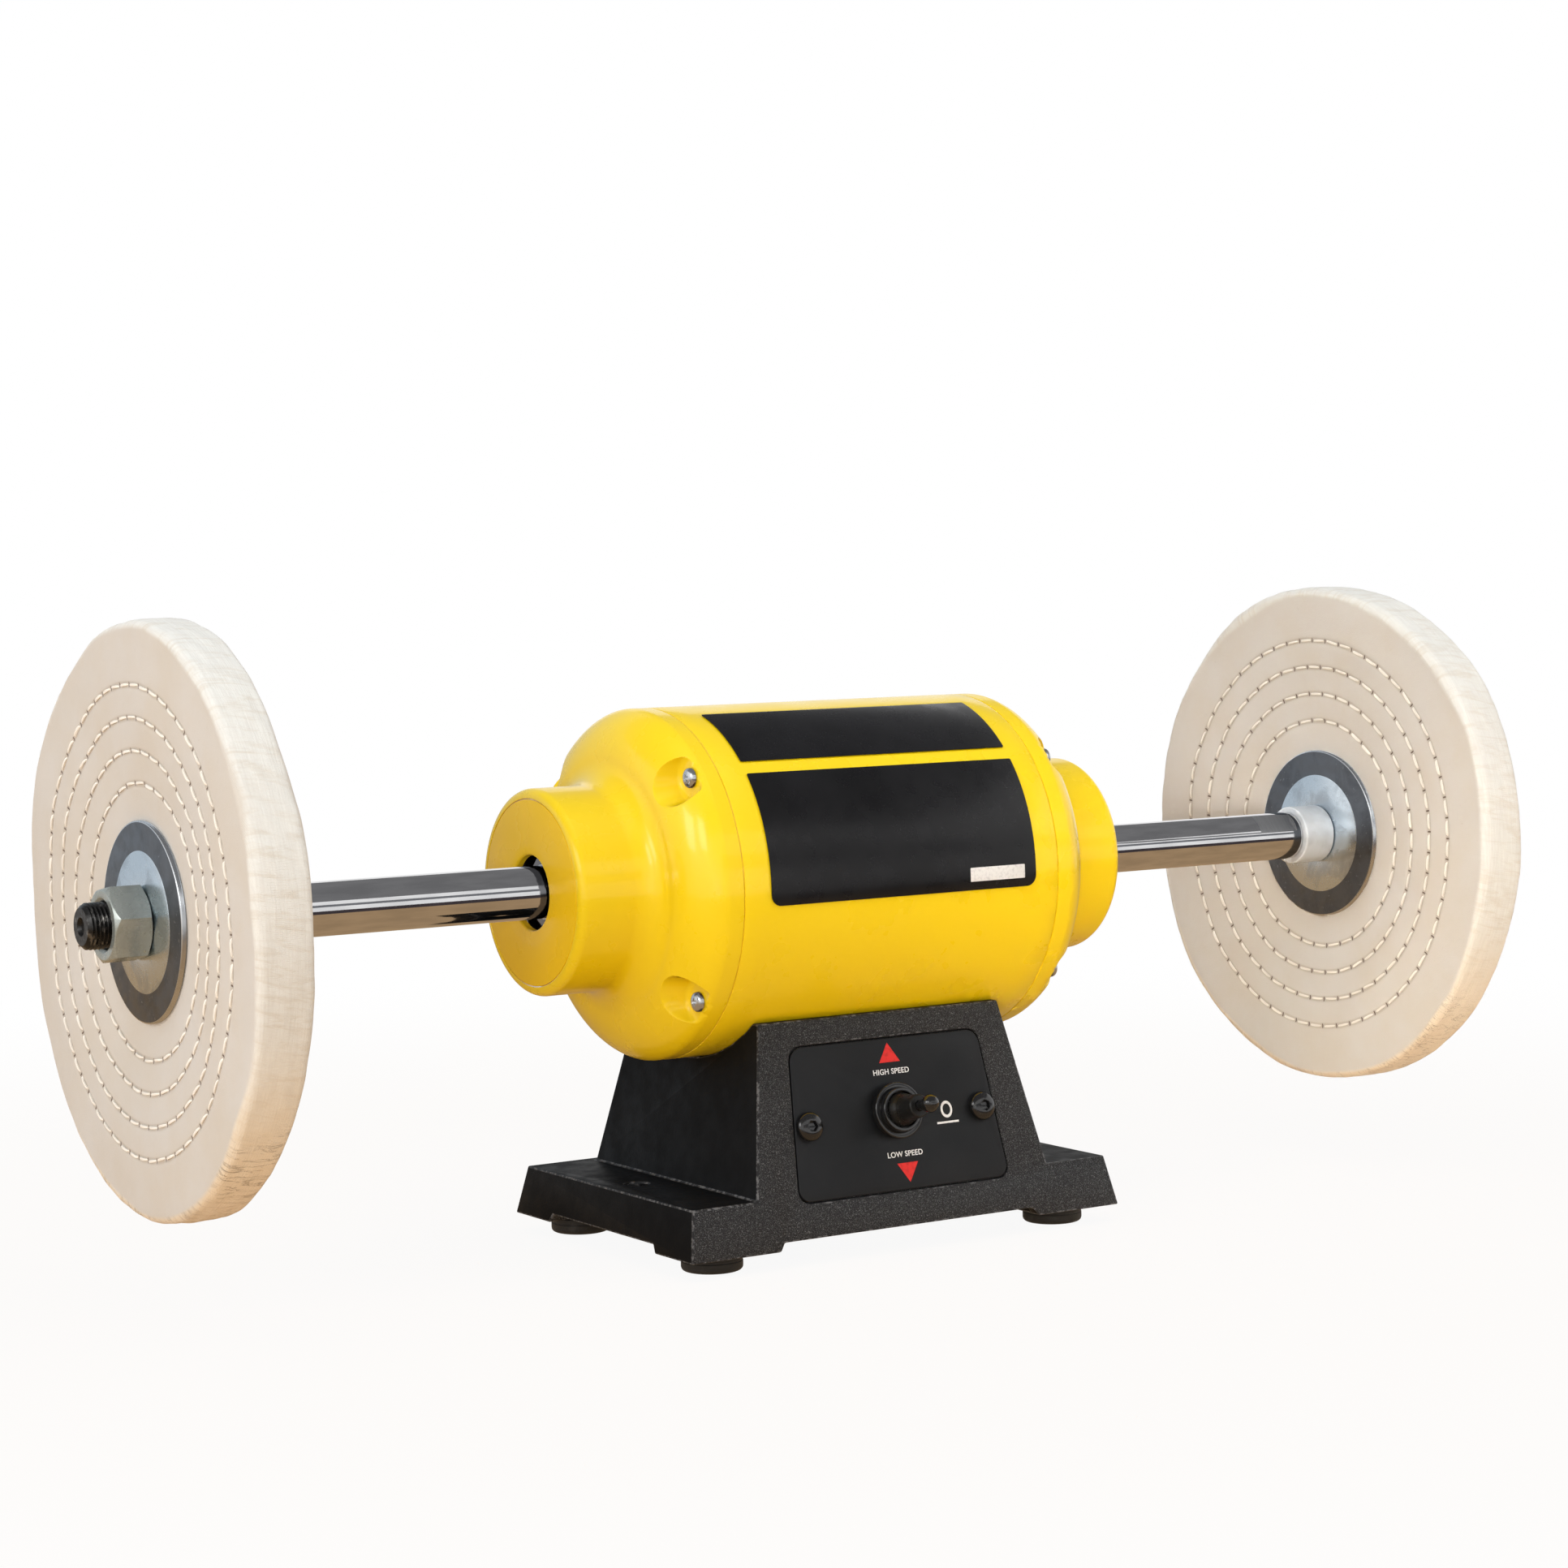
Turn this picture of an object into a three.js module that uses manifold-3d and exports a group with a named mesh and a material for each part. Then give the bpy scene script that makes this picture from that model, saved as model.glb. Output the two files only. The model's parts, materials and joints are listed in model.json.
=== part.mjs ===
// Bench buffer: a cast stand carries an electric motor whose shaft turns a sewn cotton wheel at each end.
// Lengths are millimetres. X runs along the shaft, -Y is the front with the switch, +Z is up, and the origin
// lies on the bench under the middle of the machine.
import * as THREE from "three";
import { mergeVertices } from "three/addons/utils/BufferGeometryUtils.js";
import Module from "manifold-3d";

const wasm = await Module();
wasm.setup();

// Clearances
const fitGap = 0.3; // between pieces that touch
const cutOver = 3; // how far a cut runs past the face that it opens
const mergeTolerance = 0.0001;

// Facets round a full turn
const wheelFacets = 32;
const barrelFacets = 40;
const bellFacets = 28;
const innerFacets = 20;
const smallFacets = 16;
const screwFacets = 8;
const ballFacets = 6;
const ballRows = 3;
const rubberFacets = 12;
const pocketFacets = 12;

// Steps along rounded outlines
const domeSteps = 4;
const neckSteps = 3;
const edgeSteps = 2;
const insideSteps = 2;
const plateCornerSteps = 4;
const bootBallSteps = 3;
const leverBallSteps = 4;
const grooveSteps = 3;

// The two ends, and how far each is turned about Z from the right
const sides = [
  ["left", Math.PI],
  ["right", 0],
];

// Stand
const padHeight = 6.3; // underside of the casting above the bench
const skirtTop = 24.4;
const saddleHeight = 69.2; // lowest line of the saddle under the barrel
const saddleHorns = 15.8; // the pedestal's front and back rise this much higher
const barrelOverhang = 15.61; // how far the barrel reaches beyond the top of the pedestal at each end
const skirtMargin = 0.6; // how far the skirt's lower edge stands out beyond the barrel, front and back
const wingLength = 26.51; // each end of the skirt's top beyond the pedestal
const rearLedge = 5.22; // the skirt's top behind the pedestal
const sideLean = THREE.MathUtils.degToRad(10.3);
const faceLean = THREE.MathUtils.degToRad(13.6);
const castingWall = 5;
const padLength = 37;
const padDepth = 26;
const padThickness = 8;
const reliefRise = 3; // the lower edge is raised this much between the pads
const reliefDraft = 2;
const boltHoleRadius = 4.5;
const boltHoleInset = 12.41; // from the end of the skirt's top
const boltBossWall = 5.5;
const boltBossDrop = 4;
const leadHoleClearance = 2;
const leadHoleOffset = 36;
const leadHoleFront = 22;

// Feet
const footRadius = 11.07;
const footInsetX = 18.4; // from the skirt's lower edge
const footInsetY = 17.2;
const footRounding = 1.6;
const footStemRadius = 4;
const footBulbSwell = 1.2;
const footBulbHeight = 4;

// Bottom plate
const bottomPlateThickness = 1.5;
const bottomPlateInset = 1.6; // from where the pedestal rises
const bottomPlateMargin = 0.5;
const coverBossWall = 3;
const coverBossHeight = 21;
const coverScrewInsetX = 18.6; // from where the pedestal rises
const coverScrewInsetY = 14.6; // from the skirt's lower edge
const coverScrewRadius = 2;
const coverScrewLength = 9;
const coverHeadRadius = 4;
const coverHeadHeight = 2.1;
const headCrownShare = 0.62; // width of a screw head's top as a share of its rim

// Switch plate, on the sloping front
const plateTopMargin = 9.75; // down the slope from the pedestal's top
const plateHeight = 55.1;
const plateTopInset = 11.59; // from the pedestal's half length at its top
const plateBottomInset = 17.8; // from its half length where it rises
const plateCorner = 5;
const plateThickness = 1.5;
const plateMargin = 0.5;
const plateSink = 0.2; // the plate's face lies this much below the casting's
const plateScrewInset = 5.6;
const plateScrewDrop = 1;
const plateScrewRadius = 2;
const plateScrewLength = 9;
const plateHeadRadius = 5.3;
const plateHeadHeight = 3.2;
const windowHalfWidth = 13;
const windowHalfHeight = 20;

// Toggle switch
const toggleRise = 0.95; // above the middle of the plate
const switchWidth = 18;
const switchHeight = 30;
const switchDepth = 20;
const bushingRadius = 6;
const bushingBore = 4.5;
const bushingReach = 0.8; // above the plate's face
const switchNutStep = 2.25; // wider than the boot's collar
const switchNutHeight = 3;
const switchNutBevel = 0.4;
const bootCollarWall = 1.2;
const bootCollarHeight = 2.2;
const bootBallRadius = 6.2;
const bootSkirt = 0.9; // its lower edge, below the pivot
const bootBallTop = THREE.MathUtils.degToRad(30); // where the ball runs into the cone
const bootTopRadius = 4;
const bootTopHeight = 16.5; // above the plate's face
const leverRadius = 1.9;
const leverTailRadius = 1.3;
const leverTailLength = 9;
const leverBallRadius = 3.35;
const leverBallHeight = 23; // above the plate's face
const pivotHeight = 4.2; // above the plate's face

// Motor barrel
const barrelRadius = 64;
const barrelWall = 2;
const seamOffset = 68.2;
const lugRadius = 6;
const lugLength = 15;
const bellScrewInset = 7.5;
const bellScrewAngles = [42, 138, 222, 318].map(THREE.MathUtils.degToRad);
const saddleBoltGap = 10; // beyond the end of the stator's core
const saddleBoltRadius = 3;
const saddleBossRadius = 7;
const saddleBossHeight = 10;
const saddleHeadFlats = 10;
const saddleHeadHeight = 4;

// Labels on the barrel, with angles up from the front
const labelThickness = 0.3;
const labelInset = 10.7; // from the barrel's seam
const lowerLabelAngles = [-4.2, 40].map(THREE.MathUtils.degToRad);
const upperLabelAngles = [45, 72.6].map(THREE.MathUtils.degToRad);

// End bells
const bellStraight = 5.5;
const bellWall = 4.5;
const domeLength = 13.8;
const domeFullness = 1.63;
const neckFillet = 9.6;
const bossRadius = 37.2;
const bossLength = 30.85; // from the dome's end to the bell's face
const bossRounding = 3.2;
const spigotLength = 3;
const spigotWall = 3;
const pocketRadius = 8.75;
const pocketWall = 1.7;
const pocketFloorThickness = 8.05;
const bellScrewRadius = 2;
const bellScrewLength = 20;
const bellHeadRadius = 4.5;
const bellHeadHeight = 2.8;
const coverInset = 3.8;
const coverThickness = 2.7;
const coverClearance = 3.975; // round the shaft
const noseLip = 5.5; // how far the bell's nose covers the bearing
const noseThickness = 2.4;

// Ball bearings: 20 mm bore, 47 mm outside, 14 mm wide
const bearingBore = 10;
const bearingRadius = 23.5;
const bearingWidth = 14;
const ballCount = 8;
const ballGap = 0.6; // between the balls and the faceted grooves
const ballShare = 0.294; // radius of a ball as a share of the bearing's section
const raceShoulderShare = 0.2185; // from the ball circle to the rings, as a share of it
const cageThickness = 1.2;
const cageWidth = 8;
const washerSpace = 1.5;
const washerThickness = 0.5;
const washerWave = 0.35;
const washerStep = 0.5; // its bore is this much wider than the nose's
const washerWaves = 3;

// Shaft
const shaftRadius = 9.525;
const bearingShoulder = 2;
const bearingSeatLength = 16;
const shaftReach = 115.5; // from the bell's face to the shoulder that the spacer rests on
const arborShoulder = 1.5875;
const arborReach = 7.35; // beyond the nut
const arborChamfer = 1.6;
const flatGap = 3; // between the flats and the shoulder
const flatLength = 19;
const flatDepth = 1;
const flatTurn = THREE.MathUtils.degToRad(25);

// Stator and rotor
const coreMargin = 38.2; // from the core's end to the barrel's seam
const airGap = 0.5;
const slotCount = 8;
const slotDepth = 9;
const slotHalfWidth = 2.6;
const rotorShare = 0.5; // radius as a share of the barrel's inside
const endRingLength = 6;
const endRingThickness = 11;
const windingLength = 19.5;
const windingStep = 1.5; // its bore is this much wider than the stator's
const windingMargin = 12; // between it and the barrel

// Wheel stack on each arbor
const spacerWall = 3.3625;
const spacerLength = 14.45;
const flangeRadius = 34.1;
const flangeRim = 1.9;
const flangeCentreRadius = 23.8;
const flangeCentreStep = 0.6;
const nutFlats = 23.8125;
const nutLength = 13.2;
const nutChamfer = 1.6;

// Sewn cotton wheels
const wheelRadius = 101.6;
const wheelHubWidth = 11.7;
const wheelRimWidth = 20.5;
const rimRounding = 2.6;
const stitchRings = 4;
const stitchMargin = 12.4; // from the flange's edge to the first ring
const stitchPitch = 11;
const stitchSink = 0.7;
const flareShare = 0.75; // share of the way from the flange to the rim over which the cloth spreads

// Capacitor on the rear wall, and the cord's grommet
const capacitorRadius = 17.5;
const capacitorHalfLength = 30;
const capacitorUp = 19; // up the rear wall from the top of the skirt
const clampThickness = 1.2;
const clampHalfWidth = 7;
const clampFootHalf = 16;
const clampStudRadius = 2;
const grommetInset = 21.6; // from where the pedestal rises
const grommetUp = 22;
const grommetNeck = 6.3;
const grommetFlange = 9;
const grommetFlangeHeight = 2;
const grommetBore = 3.5;

// Leads between the switch and the windings
const leadRadius = 3;
const leadFacets = 8;
const leadSteps = 8;

// Sizes that follow from those above: the stand
const skirtHalfDepth = barrelRadius + skirtMargin;
const skirtRise = skirtTop - padHeight;
const skirtTopHalfDepth = skirtHalfDepth - skirtRise * Math.tan(faceLean);
const pedestalTop = saddleHeight + saddleHorns;
const pedestalRise = pedestalTop - skirtTop;
const pedestalTopHalfLength = seamOffset - barrelOverhang;
const pedestalHalfLength = pedestalTopHalfLength + pedestalRise * Math.tan(sideLean);
const skirtTopHalfLength = pedestalHalfLength + wingLength;
const skirtHalfLength = skirtTopHalfLength + skirtRise * Math.tan(sideLean);
const pedestalBack = skirtTopHalfDepth - rearLedge;
const pedestalTopFront = skirtTopHalfDepth - pedestalRise * Math.tan(faceLean);
const pedestalTopBack = pedestalBack - pedestalRise * Math.tan(faceLean);
const saddleUnderside = saddleHeight - castingWall;
const coreHalfLength = seamOffset - coreMargin;
const saddleBoltOffset = coreHalfLength + saddleBoltGap;
const boltHoleOffset = skirtTopHalfLength - boltHoleInset;
const boltBossRadius = boltHoleRadius + boltBossWall;
const leadHoleRadius = leadRadius + leadHoleClearance;
const footOffsetX = skirtHalfLength - footInsetX;
const footOffsetY = skirtHalfDepth - footInsetY;
const bottomPlateLow = padHeight + reliefRise + fitGap;
const bottomPlateHigh = bottomPlateLow + bottomPlateThickness;
const bottomPlateHalfLength = pedestalHalfLength - bottomPlateInset;
const coverBossRadius = coverScrewRadius + coverBossWall;
const coverScrewOffsetX = pedestalHalfLength - coverScrewInsetX;
const coverScrewOffsetY = skirtHalfDepth - coverScrewInsetY;
const clampWallGap = -castingWall - fitGap; // out of the rear wall's face, as are the other two
const clampBack = clampWallGap - clampThickness;
const capacitorDepth = clampBack - clampThickness / 2 - fitGap - capacitorRadius;
const grommetOffset = pedestalHalfLength - grommetInset;

// The switch
const plateFace = -plateSink;
const plateMiddle = pedestalRise / Math.cos(faceLean) - plateTopMargin - plateHeight / 2;
const plateTopHalf = pedestalTopHalfLength - plateTopInset;
const plateBottomHalf = pedestalHalfLength - plateBottomInset;
const plateScrewOffset = (plateTopHalf + plateBottomHalf) / 2 - plateScrewInset;
const bootCollarBore = bootBallRadius + 2 * fitGap;
const bootCollarRadius = bootCollarBore + bootCollarWall;
const switchNutRadius = bootCollarRadius + switchNutStep;

// The motor
const saddleRadius = barrelRadius + fitGap;
const axisHeight = saddleHeight + saddleRadius;
const barrelInner = barrelRadius - barrelWall;
const bellScrewCircle = barrelRadius - bellScrewInset;
const labelHalfLength = seamOffset - labelInset;
const housingEnd = seamOffset - fitGap / 2;
const bellStart = seamOffset + fitGap / 2;
const domeStart = bellStart + bellStraight;
const domeEnd = domeStart + domeLength;
const bellFace = domeEnd + bossLength;
const coverRecess = bellFace - coverThickness - fitGap;
const coverRadius = bossRadius - coverInset;
const coverBore = shaftRadius + coverClearance;
const pocketFloor = bellStart + pocketFloorThickness;
const bearingEnd = coverRecess - noseThickness - washerSpace - fitGap;
const bearingOffset = bearingEnd - bearingWidth;
const bearingMiddle = bearingOffset + bearingWidth / 2;
const bearingSection = bearingRadius - bearingBore;
const ballCircle = (bearingBore + bearingRadius) / 2;
const ballRadius = bearingSection * ballShare;
const raceShoulder = bearingSection * raceShoulderShare;
const noseBore = bearingRadius - noseLip;
const washerInner = noseBore + washerStep;
const shaftCoreRadius = bearingBore + bearingShoulder;
const rotorRadius = barrelInner * rotorShare;
const statorBore = rotorRadius + airGap;
const endRingInner = rotorRadius - endRingThickness;
const windingInner = statorBore + windingStep;
const windingOuter = barrelInner - windingMargin;

// The wheels and what clamps them, outward from the shaft's shoulder
const shaftShoulder = bellFace + shaftReach;
const arborRadius = shaftRadius - arborShoulder;
const arborBore = arborRadius + fitGap;
const spacerRadius = arborBore + spacerWall;
const flangeThickness = flangeRim + flangeCentreStep;
const innerFlangeBack = shaftShoulder + fitGap + spacerLength + fitGap;
const hubFace = wheelHubWidth / 2 + fitGap;
const wheelOffset = innerFlangeBack + flangeThickness + hubFace;
const outerFlangeFace = wheelOffset + hubFace + flangeThickness;
const nutStart = outerFlangeFace + fitGap;
const nutEnd = nutStart + nutLength;
const arborEnd = nutEnd + arborReach;
const stitchFirstRadius = flangeRadius + stitchMargin;

const front = frontFrame();
const rear = rearFrame();

const materials = {
  casting: material(0x26272a, 0.75, 0.2),
  plate: material(0x141517, 0.5, 0.3),
  rubber: material(0x111111, 0.85, 0),
  blackPlastic: material(0x0d0d0e, 0.4, 0),
  blackSteel: material(0x18181a, 0.35, 0.8),
  yellow: material(0xf5cf1e, 0.3, 0.1),
  label: material(0x17181a, 0.4, 0),
  steel: material(0xc4c6c8, 0.2, 1),
  zinc: material(0xa9adb3, 0.35, 0.9),
  collar: material(0xd9dadb, 0.4, 0.6),
  cotton: material(0xe2d2b8, 0.95, 0),
  laminations: material(0x5d5f63, 0.5, 0.9),
  copper: material(0xb0642c, 0.4, 0.8),
  aluminium: material(0xb9bcc0, 0.4, 0.9),
  capacitor: material(0x9aa0a6, 0.4, 0.5),
  insulation: material(0x2b2b2b, 0.7, 0),
};

function material(color, roughness, metalness) {
  return new THREE.MeshStandardMaterial({ color, roughness, metalness, flatShading: true });
}

// Closed solid of a geometry, with shared corners merged and collapsed triangles dropped.
function solidOf(shape) {
  if (!shape.isBufferGeometry) return shape;
  const bare = shape.index ? shape.toNonIndexed() : shape.clone();
  bare.deleteAttribute("normal");
  bare.deleteAttribute("uv");
  const merged = mergeVertices(bare, mergeTolerance);
  const corners = merged.index.array;
  const kept = [];
  for (let i = 0; i < corners.length; i += 3) {
    const [a, b, c] = corners.subarray(i, i + 3);
    if (a !== b && b !== c && c !== a) kept.push(a, b, c);
  }
  return new wasm.Manifold(
    new wasm.Mesh({
      numProp: 3,
      vertProperties: merged.attributes.position.array,
      triVerts: new Uint32Array(kept),
    }),
  );
}

function join(first, ...others) {
  return others.reduce((sum, other) => sum.add(solidOf(other)), solidOf(first));
}

function cut(body, ...tools) {
  return tools.reduce((left, tool) => left.subtract(solidOf(tool)), solidOf(body));
}

function common(first, second) {
  return solidOf(first).intersect(solidOf(second));
}

// Named mesh of a geometry or of a joined and cut solid.
function piece(name, shape, look) {
  const made = solidOf(shape).getMesh();
  const geometry = new THREE.BufferGeometry();
  geometry.setAttribute("position", new THREE.BufferAttribute(made.vertProperties, 3));
  geometry.setIndex(new THREE.BufferAttribute(made.triVerts, 1));
  geometry.computeVertexNormals();
  const mesh = new THREE.Mesh(geometry, look);
  mesh.name = name;
  return mesh;
}

// Turns a closed outline of [along X, radius] points round the X axis.
function turned(outline, facets) {
  const twiceArea = outline.reduce((sum, [x, r], i) => {
    const [nextX, nextR] = outline[(i + 1) % outline.length];
    return sum + r * nextX - nextR * x;
  }, 0);
  const points = outline.map(([x, r]) => new THREE.Vector2(r, x));
  if (twiceArea < 0) points.reverse();
  points.push(points[0].clone());
  return new THREE.LatheGeometry(points, facets).rotateZ(-Math.PI / 2);
}

function rod(from, to, radius, facets) {
  return turned([[from, 0], [from, radius], [to, radius], [to, 0]], facets);
}

function ring(from, to, inner, outer, facets) {
  return turned([[from, inner], [from, outer], [to, outer], [to, inner]], facets);
}

// Turns an outline of [height, radius] points round the Z axis.
function upright(outline, facets) {
  return turned(outline, facets).rotateY(-Math.PI / 2);
}

function box(lowX, highX, lowY, highY, lowZ, highZ) {
  return new THREE.BoxGeometry(highX - lowX, highY - lowY, highZ - lowZ).translate(
    (lowX + highX) / 2,
    (lowY + highY) / 2,
    (lowZ + highZ) / 2,
  );
}

function shapeOf(points) {
  return new THREE.Shape(points.map(([a, b]) => new THREE.Vector2(a, b)));
}

function slab(shape, low, high, curveSegments = plateCornerSteps) {
  return new THREE.ExtrudeGeometry(shape, {
    depth: high - low,
    bevelEnabled: false,
    curveSegments,
  }).translate(0, 0, low);
}

// Block with an outline of [X, Z] points, from one Y to another.
function alongY(points, low, high) {
  return slab(shapeOf(points), -high, -low).rotateX(Math.PI / 2);
}

// Block with an outline of [Y, Z] points, from one X to another.
function alongX(points, low, high) {
  return slab(shapeOf(points), low, high).rotateY(Math.PI / 2).rotateX(Math.PI / 2);
}

function hexagon(flats) {
  const corner = flats / Math.sqrt(3);
  const turns = [0, 1, 2, 3, 4, 5].map((i) => (i * Math.PI) / 3);
  return shapeOf(turns.map((turn) => [corner * Math.cos(turn), corner * Math.sin(turn)]));
}

// Points on a quarter of a superellipse, from its widest end to its tip.
function quarter(startX, startR, lengthX, dropR, fullness, steps) {
  const points = [];
  for (let i = 0; i <= steps; i++) {
    const turn = ((i / steps) * Math.PI) / 2;
    const x = startX + lengthX * Math.sin(turn) ** (2 / fullness);
    points.push([x, startR - dropR + dropR * Math.cos(turn) ** (2 / fullness)]);
  }
  return points;
}

// Points on a hollow quarter circle that ends at the neck.
function hollowQuarter(middleX, middleR, radius, steps) {
  const points = [];
  for (let i = 0; i <= steps; i++) {
    const turn = ((i / steps) * Math.PI) / 2;
    points.push([middleX - radius * Math.cos(turn), middleR - radius * Math.sin(turn)]);
  }
  return points;
}

// Where a bell screw's axis passes, in Y and Z from the shaft's axis.
function screwPlace(angle) {
  return [-bellScrewCircle * Math.cos(angle), bellScrewCircle * Math.sin(angle)];
}

function screwRod(angle, from, to, radius, facets) {
  const [y, z] = screwPlace(angle);
  return rod(from, to, radius, facets).translate(0, y, z);
}

// Frame of the sloping front: Y up the slope, Z out of the face, at the middle of the switch plate.
function frontFrame() {
  const frame = new THREE.Group();
  frame.rotation.x = Math.PI / 2 - faceLean;
  frame.position.set(
    0,
    -skirtTopHalfDepth + plateMiddle * Math.sin(faceLean),
    skirtTop + plateMiddle * Math.cos(faceLean),
  );
  frame.updateMatrix();
  return frame;
}

// Frame of the sloping rear wall: Y up the slope, Z out of the wall, at the top of the skirt.
function rearFrame() {
  const frame = new THREE.Group();
  frame.rotation.set(Math.PI / 2 - faceLean, 0, Math.PI, "ZXY");
  frame.position.set(0, pedestalBack, skirtTop);
  frame.updateMatrix();
  return frame;
}

function castingOutside() {
  const padEdge = skirtHalfLength - padLength;
  const padFront = skirtHalfDepth - padDepth;
  const relief = padHeight + reliefRise;
  const faceOn = alongY(
    [
      [-skirtHalfLength, padHeight],
      [-padEdge, padHeight],
      [-padEdge + reliefDraft, relief],
      [padEdge - reliefDraft, relief],
      [padEdge, padHeight],
      [skirtHalfLength, padHeight],
      [skirtTopHalfLength, skirtTop],
      [pedestalHalfLength, skirtTop],
      [pedestalTopHalfLength, pedestalTop],
      [-pedestalTopHalfLength, pedestalTop],
      [-pedestalHalfLength, skirtTop],
      [-skirtTopHalfLength, skirtTop],
    ],
    -skirtHalfDepth - cutOver,
    skirtHalfDepth + cutOver,
  );
  const endOn = alongX(
    [
      [-skirtHalfDepth, padHeight],
      [-padFront, padHeight],
      [-padFront + reliefDraft, relief],
      [padFront - reliefDraft, relief],
      [padFront, padHeight],
      [skirtHalfDepth, padHeight],
      [skirtTopHalfDepth, skirtTop],
      [pedestalBack, skirtTop],
      [pedestalTopBack, pedestalTop],
      [-pedestalTopFront, pedestalTop],
    ],
    -skirtHalfLength - cutOver,
    skirtHalfLength + cutOver,
  );
  return common(faceOn, endOn);
}

// The hollow: open below, with a wall on each side between the middle and the bolt wings.
function castingHollow() {
  const bottom = padHeight - cutOver;
  const ceiling = skirtTop - castingWall;
  const hollowTop = pedestalTop - castingWall;
  const hollowRise = hollowTop - skirtTop;
  const skirtLean = Math.tan(faceLean);
  const innerDepth = skirtHalfDepth - castingWall;
  const depthAt = (z) => innerDepth - (z - padHeight) * skirtLean;
  const skirtInside = alongX(
    [
      [-depthAt(bottom), bottom],
      [depthAt(bottom), bottom],
      [depthAt(ceiling), ceiling],
      [-depthAt(ceiling), ceiling],
    ],
    -skirtHalfLength + castingWall,
    skirtHalfLength - castingWall,
  );
  const middleHalf = pedestalHalfLength - castingWall;
  const partitions = sides.map(([, turn]) =>
    box(
      middleHalf,
      pedestalHalfLength,
      -skirtHalfDepth,
      skirtHalfDepth,
      bottomPlateHigh + fitGap,
      skirtTop,
    ).rotateZ(turn),
  );
  const faceOn = alongY(
    [
      [-middleHalf, bottom],
      [middleHalf, bottom],
      [middleHalf, skirtTop],
      [middleHalf - hollowRise * Math.tan(sideLean), hollowTop],
      [-middleHalf + hollowRise * Math.tan(sideLean), hollowTop],
      [-middleHalf, skirtTop],
    ],
    -skirtHalfDepth,
    skirtHalfDepth,
  );
  const endOn = alongX(
    [
      [-depthAt(bottom), bottom],
      [depthAt(bottom), bottom],
      [depthAt(ceiling), ceiling],
      [pedestalBack - castingWall, ceiling],
      [pedestalBack - castingWall, skirtTop],
      [pedestalBack - castingWall - hollowRise * skirtLean, hollowTop],
      [-skirtTopHalfDepth + castingWall + hollowRise * skirtLean, hollowTop],
    ],
    -pedestalHalfLength,
    pedestalHalfLength,
  );
  const underSaddle = rod(
    -pedestalHalfLength - cutOver,
    pedestalHalfLength + cutOver,
    saddleRadius + castingWall,
    barrelFacets,
  ).translate(0, 0, axisHeight);
  const middle = cut(common(faceOn, endOn), underSaddle);
  return join(cut(skirtInside, ...partitions), middle);
}

// The four corners of a rectangle of places.
function corners(offsetX, offsetY) {
  return [
    ["front_left", -offsetX, -offsetY],
    ["front_right", offsetX, -offsetY],
    ["back_left", -offsetX, offsetY],
    ["back_right", offsetX, offsetY],
  ];
}

function footPads() {
  const middleX = skirtHalfLength - padLength / 2;
  const middleY = skirtHalfDepth - padDepth / 2;
  return corners(middleX, middleY).map(([, x, y]) =>
    box(
      x - padLength / 2,
      x + padLength / 2,
      y - padDepth / 2,
      y + padDepth / 2,
      padHeight,
      padHeight + padThickness,
    ),
  );
}

function castingBosses() {
  const low = bottomPlateHigh + fitGap;
  const coverBosses = corners(coverScrewOffsetX, coverScrewOffsetY).map(([, x, y]) =>
    upright([[low, 0], [low, coverBossRadius], [low + coverBossHeight, coverBossRadius],
      [low + coverBossHeight, 0]], screwFacets).translate(x, y, 0),
  );
  const underWing = skirtTop - castingWall - boltBossDrop;
  const boltBosses = [-boltHoleOffset, boltHoleOffset].map((x) =>
    upright([[underWing, 0], [underWing, boltBossRadius], [skirtTop, boltBossRadius],
      [skirtTop, 0]], smallFacets).translate(x, 0, 0),
  );
  return join(...coverBosses, ...boltBosses);
}

function uprightHole(x, y, low, high, radius, facets = screwFacets) {
  return upright([[low, 0], [low, radius], [high, radius], [high, 0]], facets).translate(x, y, 0);
}

function castingHoles() {
  const aboveBosses = bottomPlateHigh + fitGap + coverScrewLength + cutOver;
  return [
    ...corners(coverScrewOffsetX, coverScrewOffsetY).map(([, x, y]) =>
      uprightHole(x, y, padHeight, aboveBosses, coverScrewRadius + fitGap),
    ),
    ...corners(footOffsetX, footOffsetY).map(([, x, y]) =>
      uprightHole(x, y, 0, padHeight + padThickness + cutOver, footStemRadius + fitGap, rubberFacets),
    ),
    ...[-boltHoleOffset, boltHoleOffset].map((x) =>
      uprightHole(x, 0, 0, skirtTop + cutOver, boltHoleRadius, smallFacets),
    ),
    ...[-saddleBoltOffset, saddleBoltOffset].map((x) =>
      uprightHole(x, 0, saddleUnderside - cutOver, axisHeight, saddleBoltRadius + fitGap),
    ),
    uprightHole(leadHoleOffset, -leadHoleFront, skirtTop, axisHeight, leadHoleRadius),
  ];
}

// Outline of the switch plate, grown by the margin of its recess.
function plateOutline(grow) {
  const top = plateHeight / 2 + grow;
  const halfTop = plateTopHalf + grow;
  const halfBottom = plateBottomHalf + grow;
  const round = plateCorner + grow;
  const slide = ((halfBottom - halfTop) * round) / (2 * top);
  const outline = new THREE.Shape();
  outline.moveTo(-halfBottom + round, -top);
  outline.lineTo(halfBottom - round, -top);
  outline.quadraticCurveTo(halfBottom, -top, halfBottom - slide, -top + round);
  outline.lineTo(halfTop + slide, top - round);
  outline.quadraticCurveTo(halfTop, top, halfTop - round, top);
  outline.lineTo(-halfTop + round, top);
  outline.quadraticCurveTo(-halfTop, top, -halfTop - slide, top - round);
  outline.lineTo(-halfBottom + slide, -top + round);
  outline.quadraticCurveTo(-halfBottom, -top, -halfBottom + round, -top);
  return outline;
}

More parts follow.
